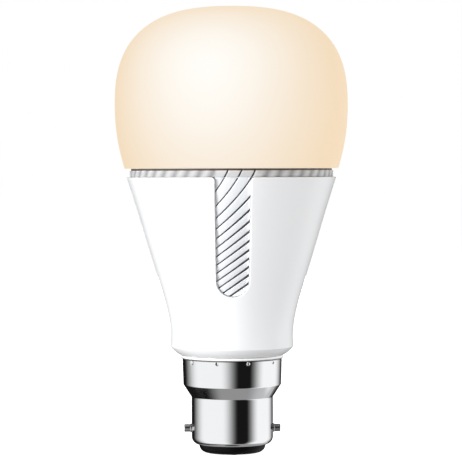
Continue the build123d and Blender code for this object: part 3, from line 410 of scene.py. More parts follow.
def circuit(name, colour, roughness):
    """Printed board: solder mask with raised tracks and vias faintly showing under it."""
    material = principled(name, colour, roughness)
    tracks = add_node(material, "ShaderNodeTexBrick", Scale=260.0, Mortar_Size=0.06, offset=0.35, squash=1.4)
    link(material, place(material), tracks.inputs["Vector"])
    broad = noise(material, 300.0, 2.0)
    lighter = tuple(min(1.0, channel * 1.45 + 0.02) for channel in colour)
    masked = mix(material, tracks.outputs["Fac"], lighter, colour)
    set_colour(material, mix(material, remap(material, broad, 0.0, 0.35), masked, darker(colour, 0.8)))
    set_bump(material, tracks.outputs["Fac"], 0.4, 0.00003)
    return material


def seam_shadow_ramp(material, low, high):
    """Share that grows from 0 to 1 between two heights, in millimetres, up to a seam: the mask of a painted seam
    shadow.
    """
    split = add_node(material, "ShaderNodeSeparateXYZ")
    link(material, place(material), split.inputs[0])
    return remap(material, split.outputs["Z"], 0, 1, low * MM, high * MM)


def case_material():
    """White case plastic. Its ring gets a painted shadow at the seams with the sleeve above it and the cap below
    it.
    """
    colour = (0.93, 0.93, 0.935)
    material = moulded("case_plastic", colour, 0.4)
    plain = material.node_tree.nodes["Principled BSDF"].inputs["Base Color"].links[0].from_socket
    # painted shadow at the ring's top, under the sleeve's foot
    seam_shade = seam_shadow_ramp(material, SLEEVE_FOOT_Z - SEAM_SHADOW, SLEEVE_FOOT_Z - 0.4 * SEAM_SHADOW)
    shaded = mix(material, seam_shade, plain, darker(colour, 0.4))
    # painted shadow along the ring's lower edge, above the cap
    seam_shade = seam_shadow_ramp(material, CAP_TOP_Z + SEAM_SHADOW, CAP_TOP_Z + 0.4 * SEAM_SHADOW)
    set_colour(material, mix(material, seam_shade, shaded, darker(colour, 0.3)))
    return material


def opal_material():
    """Lit opal plastic: a warm glow from inside under a satin skin with very faint flow marks."""
    skin, glow = (0.88, 0.87, 0.85), (0.89, 0.71, 0.50)
    material = principled("opal_plastic", skin, 0.6, Specular_IOR_Level=0.1, Emission_Strength=1.0)
    flow = noise(material, 45.0, 3.0, 0.5, (1, 1, 0.4))
    fine = noise(material, 1800.0, 2.0)
    set_colour(material, mix(material, flow, darker(skin, 0.985), skin))
    shader = material.node_tree.nodes["Principled BSDF"]
    link(material, mix(material, flow, darker(glow, 0.98), glow), shader.inputs["Emission Color"])
    set_roughness(material, remap(material, flow, 0.5, 0.6))
    set_bump(material, fine, 0.12, 0.00001)
    return material


def rib_material():
    """Ribbed plastic: pale and finely grained, with painted shade kept on the mesh: down in the grooves between
    the ribs, over the band and in a dark line under the globe's rim.
    """
    pale, groove_shade = (0.93, 0.95, 0.98), (0.065, 0.065, 0.07)
    material = principled("rib_plastic", pale, 0.45)
    broad = noise(material, 220.0, 4.0)
    speckle = noise(material, 3200.0, 2.0)
    # painted shade: the 'groove' value on the mesh darkens the colour
    depth = add_node(material, "ShaderNodeAttribute", attribute_name="groove")
    body = mix(material, broad, darker(pale, 0.95), pale)
    set_colour(material, mix(material, depth.outputs["Fac"], body, groove_shade))
    set_roughness(material, remap(material, broad, 0.4, 0.52))
    set_bump(material, speckle, 0.3, 0.00004)
    return material


def nickel_material():
    """Bright nickel plate: near-mirror, with faint turning lines and hazy patches, and a painted shadow along
    its top edge under the case ring.
    """
    colour = (0.80, 0.805, 0.815)
    material = principled("nickel_plate", colour, 0.07, 1.0)
    lines = noise(material, 60.0, 6.0, 0.65, (0.4, 0.4, 60.0))
    haze = noise(material, 150.0, 4.0)
    plate = mix(material, haze, darker(colour, 0.96), colour)
    # painted shadow: the plate darkens just under the case ring's seam
    seam_shade = seam_shadow_ramp(material, CAP_TOP_Z - 1.4 * SEAM_SHADOW, CAP_TOP_Z - 0.6 * SEAM_SHADOW)
    set_colour(material, mix(material, seam_shade, plate, darker(colour, 0.2)))
    set_roughness(material, remap(material, haze, 0.05, 0.085))
    set_bump(material, lines, 0.05, 0.000004)
    return material


SLOT_MAKERS = {
    "opal_plastic": opal_material,
    "rib_plastic": rib_material,
    "nickel_plate": nickel_material,
    "pin_metal": lambda: brushed("pin_metal", (0.58, 0.58, 0.575), 0.06, (30, 1, 1)),
    "white_plastic": lambda: moulded(
        "white_plastic", (0.9, 0.905, 0.915), 0.3, 0.000008, 0.99, Coat_Weight=0.15
    ),
    "case_plastic": case_material,
    "black_insulator": lambda: moulded(
        "black_insulator", (0.004, 0.004, 0.0045), 0.25, 0.00001, 0.8, Specular_IOR_Level=0.06
    ),
    "contact_metal": lambda: brushed("contact_metal", (0.66, 0.65, 0.62), 0.32, (1, 1, 1)),
    "brown_insulation": lambda: moulded("brown_insulation", (0.2, 0.07, 0.03), 0.4),
    "blue_insulation": lambda: moulded("blue_insulation", (0.03, 0.12, 0.45), 0.4),
    "silicone": lambda: moulded("silicone", (0.75, 0.75, 0.73), 0.6),
    "spreader_aluminium": lambda: brushed("spreader_aluminium", (0.78, 0.79, 0.8), 0.35, (1, 1, 20)),
    "pad_grey": lambda: granular("pad_grey", (0.32, 0.34, 0.37), 0.8),
    "white_mask": lambda: circuit("white_mask", (0.88, 0.88, 0.86), 0.35),
    "led_body": lambda: moulded("led_body", (0.85, 0.85, 0.82), 0.5),
    "phosphor": lambda: granular("phosphor", (0.9, 0.66, 0.12), 0.3, 4000.0),
    "screw_steel": lambda: brushed("screw_steel", (0.6, 0.6, 0.61), 0.3, (1, 1, 8)),
    "connector_plastic": lambda: moulded("connector_plastic", (0.84, 0.82, 0.76), 0.45),
    "gold_pins": lambda: brushed("gold_pins", (0.85, 0.62, 0.26), 0.22, (1, 1, 20)),
    "green_board": lambda: circuit("green_board", (0.02, 0.16, 0.06), 0.35),
    "resistor_body": lambda: moulded("resistor_body", (0.12, 0.32, 0.24), 0.3, 0.00005, 0.85),
    "varistor_coat": lambda: moulded("varistor_coat", (0.03, 0.1, 0.42), 0.25, 0.00008, 0.85),
    "ferrite": lambda: granular("ferrite", (0.05, 0.05, 0.053), 0.65),
    "copper_wire": lambda: wound("copper_wire", (0.72, 0.3, 0.12), 0.3, 0.3, 1.0),
    "film_box": lambda: moulded("film_box", (0.8, 0.5, 0.06), 0.35),
    "can_sleeve": lambda: moulded("can_sleeve", (0.04, 0.045, 0.07), 0.25, 0.00003, 0.85),
    "chip_black": lambda: granular("chip_black", (0.03, 0.03, 0.032), 0.6, 3500.0),
    "chip_ceramic": lambda: granular("chip_ceramic", (0.5, 0.38, 0.25), 0.5, 3000.0),
    "bobbin_plastic": lambda: moulded("bobbin_plastic", (0.05, 0.05, 0.05), 0.5),
    "winding_tape": lambda: wound("winding_tape", (0.82, 0.6, 0.05), 0.3, 1.2),
    "module_board": lambda: circuit("module_board", (0.012, 0.035, 0.11), 0.35),
    "shield_tin": lambda: brushed("shield_tin", (0.7, 0.7, 0.69), 0.28, (20, 1, 1)),
}

materials = {slot: make() for slot, make in SLOT_MAKERS.items()}


def finish_piece(piece, slot, *nodes):
    """Gives a piece its material, hangs it on the root body and hides the CAD nodes that it stands in for."""
    piece.data.materials.append(materials[slot])
    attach(piece, "root")
    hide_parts(*nodes)


# ---------------------------------------------------------------- camera

EYE_HEIGHT = 0.076
EYE_DISTANCE = 0.608
EYE_TURN = math.radians(-0.85)
EYE_TILT = math.radians(1.517)
EYE_ROLL = math.radians(-0.2)
SENSOR = 36.0
LENS = 175.3
SIDEWAYS = -0.0015

camera_data = bpy.data.cameras.new("camera")
camera_data.lens = LENS
camera_data.sensor_width = SENSOR
camera_data.shift_x = SIDEWAYS
camera = bpy.data.objects.new("camera", camera_data)
bpy.context.scene.collection.objects.link(camera)
camera.matrix_world = (
    Matrix.Rotation(EYE_TURN, 4, "Z")
    @ Matrix.Translation((0, -EYE_DISTANCE, EYE_HEIGHT))
    @ Matrix.Rotation(math.pi / 2 - EYE_TILT, 4, "X")
    @ Matrix.Rotation(EYE_ROLL, 4, "Z")
)
bpy.context.scene.camera = camera

# ---------------------------------------------------------------- globe

globe_curve = inset(smooth_curve(GLOBE_OUTLINE, 90, (0.3, 1), (-1, 0)), GLOBE_SKIN)
globe_curve[-1, 0] = 0


def make_globe():
    """Opal globe: a thick shell, stepped in above its rim to a spigot that stands in the core."""
    outer = globe_curve
    inner = inset(globe_curve, GLOBE_WALL)
    inner[-1] = (0, GLOBE_OUTLINE[-1][1] - GLOBE_WALL)
    inner = inner[inner[:, 1] > GLOBE_STEP_Z + 0.5][::-1]
    foot_r, foot_z = GLOBE_OUTLINE[0]
    step_r = float(radius_at(outer, GLOBE_STEP_Z)) - GLOBE_WALL
    spigot_in = GLOBE_SPIGOT_R - GLOBE_SPIGOT_WALL
    rim = rounded([
        (*inner[-1], 0),
        (step_r, GLOBE_STEP_Z, 0.4),
        (spigot_in, GLOBE_STEP_Z, 0.3),
        (spigot_in, GLOBE_SPIGOT_Z, 0.2),
        (GLOBE_SPIGOT_R, GLOBE_SPIGOT_Z, 0.3),
        (GLOBE_SPIGOT_R, foot_z, 0.1),
        (foot_r, foot_z, 0.22),
        (*outer[2], 0),
    ])
    maker = MeshMaker()
    lathe(maker, np.concatenate([outer[2:], inner[:-1], rim]), 192, closed=False)
    globe = maker.build("globe")
    finish_piece(globe, "opal_plastic", "diffuser")


make_globe()

# ---------------------------------------------------------------- sleeve

sleeve_curve = smooth_curve(SLEEVE_OUTLINE, 80)
sleeve_lining = inset(sleeve_curve, SLEEVE_WALL)


def window_edge(count_side, count_low):
    """Points (x, z) of a window's edge: down its left side, round its lower end and up its right side."""
    centre_z = WINDOW_LOW_Z + WINDOW_LOW_HALF
    corner_z = sleeve_top_z - WINDOW_CORNER
    turn = np.linspace(math.pi / 2, 0, 7)
    corner_x = -WINDOW_TOP_HALF - WINDOW_CORNER + WINDOW_CORNER * np.cos(turn)
    corner = np.stack([corner_x, corner_z + WINDOW_CORNER * np.sin(turn)], axis=1)
    down = np.linspace(0, 1, count_side)[1:, None]
    side = np.array([-WINDOW_TOP_HALF, corner_z]) * (1 - down) + np.array([-WINDOW_LOW_HALF, centre_z]) * down
    round_turn = np.linspace(math.pi, 1.5 * math.pi, count_low // 2 + 1)[1:]
    low = np.stack([np.cos(round_turn), np.sin(round_turn)], axis=1) * WINDOW_LOW_HALF + (0, centre_z)
    left = np.concatenate([corner, side, low])
    right = left[:-1][::-1] * (-1, 1)
    return np.concatenate([left, right])


def edge_round(distance):
    """How far a surface falls away at a distance from its rounded edge."""
    near = np.clip(SLEEVE_EDGE - distance, 0, SLEEVE_EDGE)
    return SLEEVE_EDGE - np.sqrt(SLEEVE_EDGE**2 - near**2)


def sleeve_sector(maker, centre_angle):
    """A third of the sleeve above its foot: rows run outwards from a window's edge to the sector's border."""
    half_sector = math.pi / WINDOW_TURNS
    count_side, count_low = 30, 36
    edge = window_edge(count_side, count_low)
    side_total = 7 + count_side - 1
    count = len(edge)
    radius = radius_at(sleeve_curve, edge[:, 1])
    inner_line = np.stack([np.arcsin(edge[:, 0] / radius), edge[:, 1]], axis=1)
    # The border: down one side of the sector, along its foot and up the other side
    border = np.zeros((count, 2))
    side_z = edge[:side_total, 1]
    share = (sleeve_top_z - side_z) / (sleeve_top_z - side_z[-1])
    border[:side_total, 0] = -half_sector
    border[:side_total, 1] = sleeve_top_z - share * (sleeve_top_z - FIELD_Z)
    border[-side_total:] = border[:side_total][::-1] * (-1, 1)
    low = slice(side_total - 1, count - side_total + 1)
    border[low, 0] = np.linspace(-half_sector, half_sector, count - 2 * side_total + 2)
    border[low, 1] = FIELD_Z
    # Steps away from the edge: fine over its rounding, then growing
    fine = np.array([0, 0.04, 0.1, 0.18, 0.28]) / 24
    outward = np.concatenate([fine, np.linspace(0, 1, 25)[1:] ** 1.25])
    outward = np.unique(np.round(outward, 6))
    field = inner_line[None] * (1 - outward[:, None, None]) + border[None] * outward[:, None, None]
    angle, z = field[..., 0], field[..., 1]
    flat_radius = radius_at(sleeve_curve, z)
    across = (angle - inner_line[None, :, 0]) * flat_radius
    from_edge = np.hypot(across, z - inner_line[None, :, 1])
    from_top = sleeve_top_z - z
    fall = np.maximum(edge_round(from_edge), edge_round(from_top))
    outside = ring_points(flat_radius - fall, z, angle + centre_angle)
    lining_radius = radius_at(sleeve_lining, z)
    lining_angle = np.where(outward[:, None] == 0, np.arcsin(edge[None, :, 0] / lining_radius), angle)
    inside = ring_points(lining_radius, z, lining_angle + centre_angle)
    maker.grid(outside)
    maker.grid(inside)
    maker.grid(np.stack([outside[0], inside[0]]))
    for column in (0, -1):
        maker.grid(np.stack([outside[:, column], inside[:, column]]))
    return border[low, 0] + centre_angle


def make_sleeve():
    """White sleeve: three sectors with their windows, standing on a bevelled foot."""
    maker = MeshMaker()
    angles = []
    for turn in range(WINDOW_TURNS):
        angles.append(sleeve_sector(maker, -math.pi / 2 + 2 * math.pi / WINDOW_TURNS * turn)[:-1])
    angle = np.concatenate(angles)[None, :]
    outside = sleeve_curve[sleeve_curve[:, 1] < FIELD_Z]
    lining = sleeve_lining[(sleeve_lining[:, 1] < FIELD_Z) & (sleeve_lining[:, 1] > SLEEVE_FLOOR_Z + 1)][::-1]
    bevel_turn = np.linspace(0, 1, 9)[:, None]
    foot, top, swell = np.array([SLEEVE_FOOT_R, SLEEVE_FOOT_Z]), outside[0], np.array(BEVEL_SWELL)
    bevel = (1 - bevel_turn) ** 2 * foot + 2 * bevel_turn * (1 - bevel_turn) * swell + bevel_turn**2 * top
    lining_r = float(lining[-1][0])
    under = rounded([
        (*lining[-1], 0),
        (lining_r, SLEEVE_FLOOR_Z, 0.3),
        (SLEEVE_HOLE_R, SLEEVE_FLOOR_Z, 0.2),
        (SLEEVE_HOLE_R, SLEEVE_FOOT_Z, 0.15),
        (*bevel[0], 0.15),
        (*bevel[1], 0),
    ])
    shoulder = rounded([(*bevel[-2], 0), (*top, 0.2), (*outside[2], 0)])
    outline = np.concatenate([
        [[radius_at(sleeve_lining, FIELD_Z), FIELD_Z]],
        lining,
        under[1:-1],
        bevel[1:-1],
        shoulder[1:-1],
        outside[2:],
        [[radius_at(sleeve_curve, FIELD_Z), FIELD_Z]],
    ])
    maker.grid(ring_points(outline[:, :1], outline[:, 1:], angle), wrap=True)
    sleeve = maker.build("sleeve", weld=2e-3)
    finish_piece(sleeve, "white_plastic", "outer_sleeve")


make_sleeve()

# ---------------------------------------------------------------- ribbed core

# One rib, from groove to groove. Each point is a share of the way to the next groove, plus a number of half
# groove widths, with its depth below the crest and its painted shade, darkest down in the groove.
RIB_PROFILE = np.array([
    (0.0, 0.0, GROOVE_DEPTH, 1.0),
    (0.0, 1.0, GROOVE_DEPTH, 1.0),
    (0.012, 1.0, 0.08, 0.08),
    (0.05, 1.0, 0.0, 0.0),
    (0.13, 1.0, 0.02, 0.0),
    (0.3, 0.6, 0.08, 0.03),
    (0.55, 0.0, 0.16, 0.06),
    (0.8, -0.4, 0.25, 0.08),
    (0.96, -1.0, 0.32, 0.12),
    (0.988, -1.0, 0.34, 0.25),
    (1.0, -1.0, GROOVE_DEPTH, 1.0),
])


def ribs_passed(x, z):
    """Ribs counted at a point of the window. They steepen upwards, to the band's own lean at its top."""
    share = (BAND_TOP_Z - 0.38 - z) / 30
    down = np.maximum(share, 0.0)
    pitch = 3.575 - 1.06 * down + 0.53 * down**2
    return 0.365 + 30 * RIB_LEAN * share + 9.93 * down**2 - 3.11 * down**3 + x / pitch


def soft_rib(phase):
    """Depth and painted shade of the rounded ribs of the band, away from the windows: a base shade all over, for
    the shade under the globe's rim, and more down in the grooves.
    """
    wave = 0.5 + 0.5 * np.cos(2 * math.pi * (phase - 0.02))
    return 0.3 * wave, 0.49 + 0.27 * wave**1.2


def sharp_share(angle):
    """How much the band's ribs are like those of the windows, at an angle around the lamp."""
    sector = 2 * math.pi / WINDOW_TURNS
    off = np.degrees((angle + math.pi / 2 + sector / 2) % sector - sector / 2)
    return np.clip((11.5 - np.abs(off - 2.5)) / 2.0 + 0.5, 0, 1)


def make_core():
    """Ribbed core: its cone and band in one turned shell, and the three ribbed pads that fill the windows."""
    maker = MeshMaker()
    skin = inset(sleeve_curve, CORE_INSET)
    inside = inset(sleeve_curve, CORE_INSET + CORE_WALL)
    skin = skin[(skin[:, 1] > CORE_FOOT_Z + 0.5) & (skin[:, 1] < sleeve_top_z - 0.3)]
    inside = inside[(inside[:, 1] > CORE_FOOT_Z + 0.5) & (inside[:, 1] < CORE_LEDGE_Z - 0.3)][::-1]
    profile = RIB_PROFILE[:-1]
    width = 0.06
    share = np.clip(profile[:, 0] + profile[:, 1] * width, 0, 1)
    share[-1] = 1 - width - 0.012
    phase = (np.arange(RIBS)[:, None] + np.append(share, 1 - width)[None, :]).reshape(-1)
    depth = np.tile(np.append(profile[:, 2], GROOVE_DEPTH), RIBS)
    groove_shade = np.tile(np.append(profile[:, 3], 1.0), RIBS)
    # Rows of the band: height, how far in they stand, and how much painted shadow they get under the globe's rim
    z, recess, shade = np.array([
        (sleeve_top_z + 0.02, 0.12, 0),
        (sleeve_top_z + 0.1, 0.02, 0),
        (75.1, 0, 0),
        (75.7, 0, 0.03),
        (BAND_LIP_Z - 0.1, 0, 0.08),
        (BAND_LIP_Z, 0.05, 0.3),
        (BAND_LIP_Z + 0.03, BAND_LIP, 1),
        (BAND_TOP_Z, BAND_LIP, 1),
    ]).T
    at_front = ribs_passed(0, z)
    angle = (phase[None, :] - at_front[:, None]) * 2 * math.pi / RIBS - math.pi / 2
    sharp = sharp_share(angle)
    soft_depth, soft_shade = soft_rib(phase)
    radius = BAND_R - (sharp * depth + (1 - sharp) * soft_depth) * 0.8 - recess[:, None]
    # painted shade over the band: at least 0.4 where its ribs are like the windows', the soft ribs' shade
    # elsewhere
    band_shade = sharp * np.maximum(groove_shade, 0.4) + (1 - sharp) * soft_shade
    # painted shadow in the rows under the globe's rim
    band_shade = np.maximum(band_shade, shade[:, None] * 0.9) + shade[:, None] * 0.1
    band = ring_points(radius, z[:, None], angle)
    maker.grid(band, wrap=True, marks=band_shade)
    # Under the band: in to the cone, down its skin, round its foot and up inside to the globe's socket
    body = np.concatenate([
        [[radius_at(skin, sleeve_top_z), sleeve_top_z + 0.02]],
        skin[::-1],
        [[skin[0][0], CORE_FOOT_Z], [inside[-1][0], CORE_FOOT_Z]],
        inside[::-1],
        [[inside[0][0], CORE_LEDGE_Z], [CORE_SOCKET_R, CORE_LEDGE_Z], [CORE_SOCKET_R, CORE_SEAL_Z]],
        [[CORE_SEAL_R, CORE_SEAL_Z], [CORE_SEAL_R, BAND_TOP_Z]],
    ])
    low_angle, top_angle = angle[0], angle[-1]
    turned_body = ring_points(body[:, :1], body[:, 1:], low_angle[None, :])
    rim_low = ring_points(CORE_SEAL_R, BAND_TOP_Z, low_angle)
    rim_top = ring_points(CORE_SEAL_R, BAND_TOP_Z, top_angle)
    plain = np.zeros((len(body), len(phase)))
    maker.grid(np.concatenate([band[:1], turned_body]), wrap=True, marks=np.concatenate([band_shade[:1], plain]))
    # the band's top, under the globe's rim, is fully dark: a painted shadow
    maker.grid(np.stack([rim_low, rim_top]), wrap=True, marks=np.ones((2, len(phase))))
    maker.grid(np.stack([rim_top, band[-1]]), wrap=True, marks=np.ones((2, len(phase))))
    for turn in range(WINDOW_TURNS):
        rib_pad(maker, -math.pi / 2 + 2 * math.pi / WINDOW_TURNS * turn)
    core = maker.build("ribbed_core_shell", sharp=32.0, weld=5e-4)
    finish_piece(core, "rib_plastic", "ribbed_core")


def groove_half_width(x, z):
    """Half the width of a groove, in millimetres: it widens to the right, and more so lower down."""
    right = (x + WINDOW_LOW_HALF) / (2 * WINDOW_LOW_HALF)
    down = np.clip((72 - z) / 8, 0, 1)
    return 0.12 + 0.05 * right + 0.10 * right * down


def rib_pad(maker, centre_angle):
    """Pad in a window. Its rows follow the ribs, so each groove has crisp edges."""
    half = WINDOW_LOW_HALF - PAD_GAP
    x = half * np.sin(np.linspace(-math.pi / 2, math.pi / 2, 49))
    centre_z = WINDOW_LOW_Z + WINDOW_LOW_HALF
    top_z = sleeve_top_z + 0.02
    low_z = centre_z - np.sqrt(np.maximum(half**2 - x**2, 0))
    heights = np.linspace(BAND_TOP_Z + 3, WINDOW_LOW_Z - 3, 1600)
    grooves = np.arange(-3, 18)

    def widened(across, z):
        """Distance from the window's middle, in a window that is wider at its top."""
        taper = np.clip((z - centre_z) / (sleeve_top_z - centre_z), 0, 1)
        return across * (1 + (WINDOW_TOP_HALF - WINDOW_LOW_HALF) / half * taper)

    columns, depths, groove_shades = [], [], []
    for across, bottom in zip(x, low_z):
        passed = ribs_passed(widened(across, heights), heights)
        groove_x, groove_z = across, np.interp(grooves, passed, heights)
        step = 0.05
        along_x = (ribs_passed(groove_x + step, groove_z) - ribs_passed(groove_x, groove_z)) / step
        along_z = (ribs_passed(groove_x, groove_z) - ribs_passed(groove_x, groove_z + step)) / step
        width = groove_half_width(groove_x, groove_z) * np.hypot(along_x, along_z)
        share = RIB_PROFILE[None, :-1, 0] + RIB_PROFILE[None, :-1, 1] * width[:, None]
        closing = 1 - np.append(width[1:], width[-1])[:, None]
        share = np.concatenate([share[:, :-2], closing - 0.04, closing - 0.012, closing], axis=1)
        z = np.interp((grooves[:, None] + share).reshape(-1), passed, heights)
        columns.append(np.clip(z, bottom, top_z))
        inside = (z > bottom) & (z < top_z)
        depths.append(np.tile(RIB_PROFILE[:, 2], len(grooves)) * inside)
        groove_shades.append(np.tile(RIB_PROFILE[:, 3], len(grooves)) * inside)
    z = np.array(columns).T
    depth, groove_shade = np.array(depths).T, np.array(groove_shades).T
    wide_x = widened(x[None, :], z)
    flat = radius_at(inset(sleeve_curve, PAD_INSET), z)
    front_radius = flat - depth
    front = ring_points(front_radius, z, np.arcsin(wide_x / front_radius) + centre_angle)
    back_radius = flat - PAD_DEPTH
    back = ring_points(back_radius, z, np.arcsin(wide_x / back_radius) + centre_angle)
    # the pad's groove value: painted shade down in its grooves
    maker.grid(front, marks=groove_shade)
    maker.grid(back)
    for edge in (0, -1):
        maker.grid(np.stack([front[edge], back[edge]]), marks=np.stack([groove_shade[edge], groove_shade[edge]]))
        maker.grid(np.stack([front[:, edge], back[:, edge]]), marks=np.stack([groove_shade[:, edge], groove_shade[:, edge]]))


make_core()

# ---------------------------------------------------------------- cap


def make_cap():
    """Cap shell: curled foot, cylinder, taper and collar in one wall, with a ring of crimps."""
    curl = np.linspace(-math.pi / 2, 0, 10)
    centre = (CAP_R - CAP_CURL_R, CAP_CURL_Z + CAP_CURL_R)
    spokes = np.stack([np.cos(curl), np.sin(curl)], axis=1)
    curl_out = centre + CAP_CURL_R * spokes
    curl_in = centre + (CAP_CURL_R - CAP_WALL) * spokes
    wall_out = rounded([
        (*curl_out[-1], 0),
        (CAP_R, curl_out[-1][1] + 0.1, 0),
        (CAP_R, CAP_TAPER_Z, 0.5),
        (CAP_COLLAR_R, CAP_COLLAR_Z, 0.45),
        (CAP_TOP_R, CAP_TOP_Z, 0.16),
        (CAP_TOP_R - CAP_WALL, CAP_TOP_Z, 0.12),
        (CAP_COLLAR_R - CAP_WALL, CAP_COLLAR_Z + 0.1, 0.3),
        (CAP_R - CAP_WALL, CAP_TAPER_Z + 0.1, 0.3),
        (*curl_in[-1], 0),
    ])
    outline = np.concatenate([curl_out[:-1], wall_out, curl_in[:-1][::-1]])
    # More rows where the crimps are, on both faces of the collar, and more columns too
    crimp_rows = np.arange(CRIMP_Z - CRIMP_REACH, CRIMP_Z + 0.45, CRIMP_STEP)
    rows = []
    for start, end in zip(outline, np.roll(outline, -1, axis=0)):
        rows.append(start)
        upwards = end[1] > start[1]
        low, high = min(start[1], end[1]), max(start[1], end[1])
        between = [z for z in (crimp_rows if upwards else crimp_rows[::-1]) if low < z < high]
        if start[0] > CAP_COLLAR_R - 0.6:
            rows += [start + (end - start) * (z - start[1]) / (end[1] - start[1]) for z in between]
    rows = np.array(rows)
    fine = np.arange(-CRIMP_REACH, CRIMP_REACH + 0.01, CRIMP_STEP) / CAP_TOP_R
    sector = 2 * math.pi / CRIMPS
    beside = (CRIMP_REACH + 0.11) / CAP_TOP_R
    coarse = np.linspace(beside, sector - beside, 16)
    around_crimp = np.concatenate([fine, coarse]) + CRIMP_START
    angle = np.concatenate([around_crimp + turn * sector for turn in range(CRIMPS)])
    radius = np.repeat(rows[:, :1], len(angle), axis=1)
    z = rows[:, 1:]
    off = (angle - CRIMP_START + sector / 2) % sector - sector / 2
    reach = np.hypot(off[None, :] * CAP_TOP_R, z - CRIMP_Z) / CRIMP_R
    dent = CRIMP_DEPTH * np.clip(1 - reach**2, 0, 1) ** 0.7
    lip = 0.03 * np.exp(-(((reach - 1.25) / 0.2) ** 2)) * (reach > 1)
    on_collar = (rows[:, :1] > CAP_COLLAR_R - CAP_WALL - 0.05) & (z > CRIMP_Z - 1) & (z < CAP_TOP_Z - 0.1)
    shell = ring_points(radius - (dent + lip) * on_collar, z, angle[None, :])
    maker = MeshMaker()
    maker.grid(np.concatenate([shell, shell[:1]]), wrap=True)
    cap = maker.build("cap", sharp=50.0)
    finish_piece(cap, "nickel_plate", "cap_shell")


make_cap()


def make_pin(side, node):
    """Bayonet pin: a rivet with an upset collar at the cap's wall, a turned shank and a hollow tip."""
    low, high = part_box(node)
    centre_z = (low.z + high.z) / 2 / MM
    root, tip = (low.x / MM, high.x / MM) if side > 0 else (-high.x / MM, -low.x / MM)
    profile = rounded([
        (0, root, 0),
        (PIN_HEAD_R, root, 0.2),
        (PIN_HEAD_R, CAP_R - 0.5, 0.1),
        (PIN_R, CAP_R - 0.5, 0),
        (PIN_R, CAP_R - 0.12, 0),
        (PIN_COLLAR_R, CAP_R - 0.12, 0.05),
        (PIN_COLLAR_R, CAP_R + 0.3, 0.12),
        (PIN_R, CAP_R + 0.4, 0.08),
        (PIN_R, tip, 0.12),
        (0.5, tip, 0.1),
        (0.42, tip - 0.45, 0.1),
        (0, tip - 0.5, 0),
    ])
    angle = np.linspace(0, 2 * math.pi, 48, endpoint=False)
    around = ring_points(profile[:, :1], profile[:, 1:], angle[None, :])
    points = np.stack([side * around[..., 2], around[..., 1], centre_z + around[..., 0]], axis=-1)
    maker = MeshMaker()
    maker.grid(points, wrap=True)
    pin = maker.build("pin_left" if side < 0 else "pin_right", sharp=40.0)
    finish_piece(pin, "pin_metal", node)


make_pin(-1, "bayonet_pin_left")
make_pin(1, "bayonet_pin_right")

# ---------------------------------------------------------------- CAD nodes that stay, and their materials

for entry in frame["record"]["subparts"]:
    node = frame["nodes"][entry["node"]]
    node.data.materials.clear()
    node.data.materials.append(materials[entry["material_slot"]])

# ---------------------------------------------------------------- studio


def emission_material(name, strength):
    material = bpy.data.materials.new(name)
    material.use_nodes = True
    tree = material.node_tree
    tree.nodes.clear()
    output = tree.nodes.new("ShaderNodeOutputMaterial")
    glow = tree.nodes.new("ShaderNodeEmission")
    glow.inputs["Strength"].default_value = strength
    tree.links.new(glow.outputs[0], output.inputs[0])
    return material, glow


def ramp(material, value, stops, blend="LINEAR"):
    """Colour ramp of grey levels over 0 to 1."""
    node = add_node(material, "ShaderNodeValToRGB")
    node.color_ramp.interpolation = blend
    elements = node.color_ramp.elements
    while len(elements) > 1:
        elements.remove(elements[-1])
    for index, (where, level) in enumerate(stops):
        element = elements[0] if index == 0 else elements.new(where)
        element.position = where
        element.color = (level, level, level, 1)
    link(material, value, node.inputs[0])
    return node.outputs[0]


FLOOR_SIZE = 30.0
FLOOR_Z = -0.0001
FLOOR_GLOW = 1.0


def make_floor():
    mesh = bpy.data.meshes.new("floor")
    half = FLOOR_SIZE / 2
    corners = [(x * half, y * half, FLOOR_Z) for x, y in ((-1, -1), (1, -1), (1, 1), (-1, 1))]
    mesh.from_pydata(corners, [], [(0, 1, 2, 3)])
    floor = bpy.data.objects.new("floor", mesh)
    bpy.context.scene.collection.objects.link(floor)
    pale = (0.86, 0.86, 0.86)
    material = principled("floor", pale, 0.9, Specular_IOR_Level=0.0, Emission_Strength=FLOOR_GLOW)
    material.node_tree.nodes["Principled BSDF"].inputs["Emission Color"].default_value = (1, 1, 1, 1)
    broad = noise(material, 3.0)
    set_colour(material, mix(material, broad, (0.83, 0.83, 0.83), pale))
    mesh.materials.append(material)
    floor.visible_glossy = False
    floor.visible_diffuse = False
    floor.visible_shadow = False


make_floor()

# Light tent that only glossy surfaces see: a wide soft box on the left and a narrower one on the right, with a
# dark gap between them to the right of the camera. Each box fades in from its first angle to its second, and out
# from its third to its fourth, in degrees to the right of the front. Its brightness comes last.
SOFT_BOXES = [
    (-145, -85, -30, 15, 1.12),
    (40, 80, 115, 160, 1.15),
]
GAP_LEVEL = 0.01
TENT_R = 0.9
TENT_LOW, TENT_HIGH = -0.45, 0.9
# Straight ahead, dark above and below the camera, and grey high up: the bars that the bayonet pins reflect
GAP_HALF = 0.09
GAP_STOPS = [(-0.45, 0), (-0.05, 0), (-0.02, 1), (0.4, 1), (0.43, 0), (0.9, 0)]
HIGH_Z = 0.42
HIGH_LEVEL = 0.13
UNDER_Z = -0.44
UNDER_R = 0.88
FRONT_Y = -0.25
PATCH_R = 0.09
# From left to right under the lamp: dark, an even grey, and a lighter grey
UNDER_STOPS = [(0.12, 0.01), (0.36, 0.35), (0.7, 0.35), (0.9, 0.6)]


def only_glossy(piece):
    piece.visible_camera = False
    piece.visible_diffuse = False
    piece.visible_transmission = False
    piece.visible_shadow = False


def maths(material, operation, first, second=0.0):
    node = add_node(material, "ShaderNodeMath", operation=operation)
    for socket, value in zip(node.inputs, (first, second)):
        if isinstance(value, (int, float)):
            socket.default_value = value
        else:
            link(material, value, socket)
    return node.outputs[0]


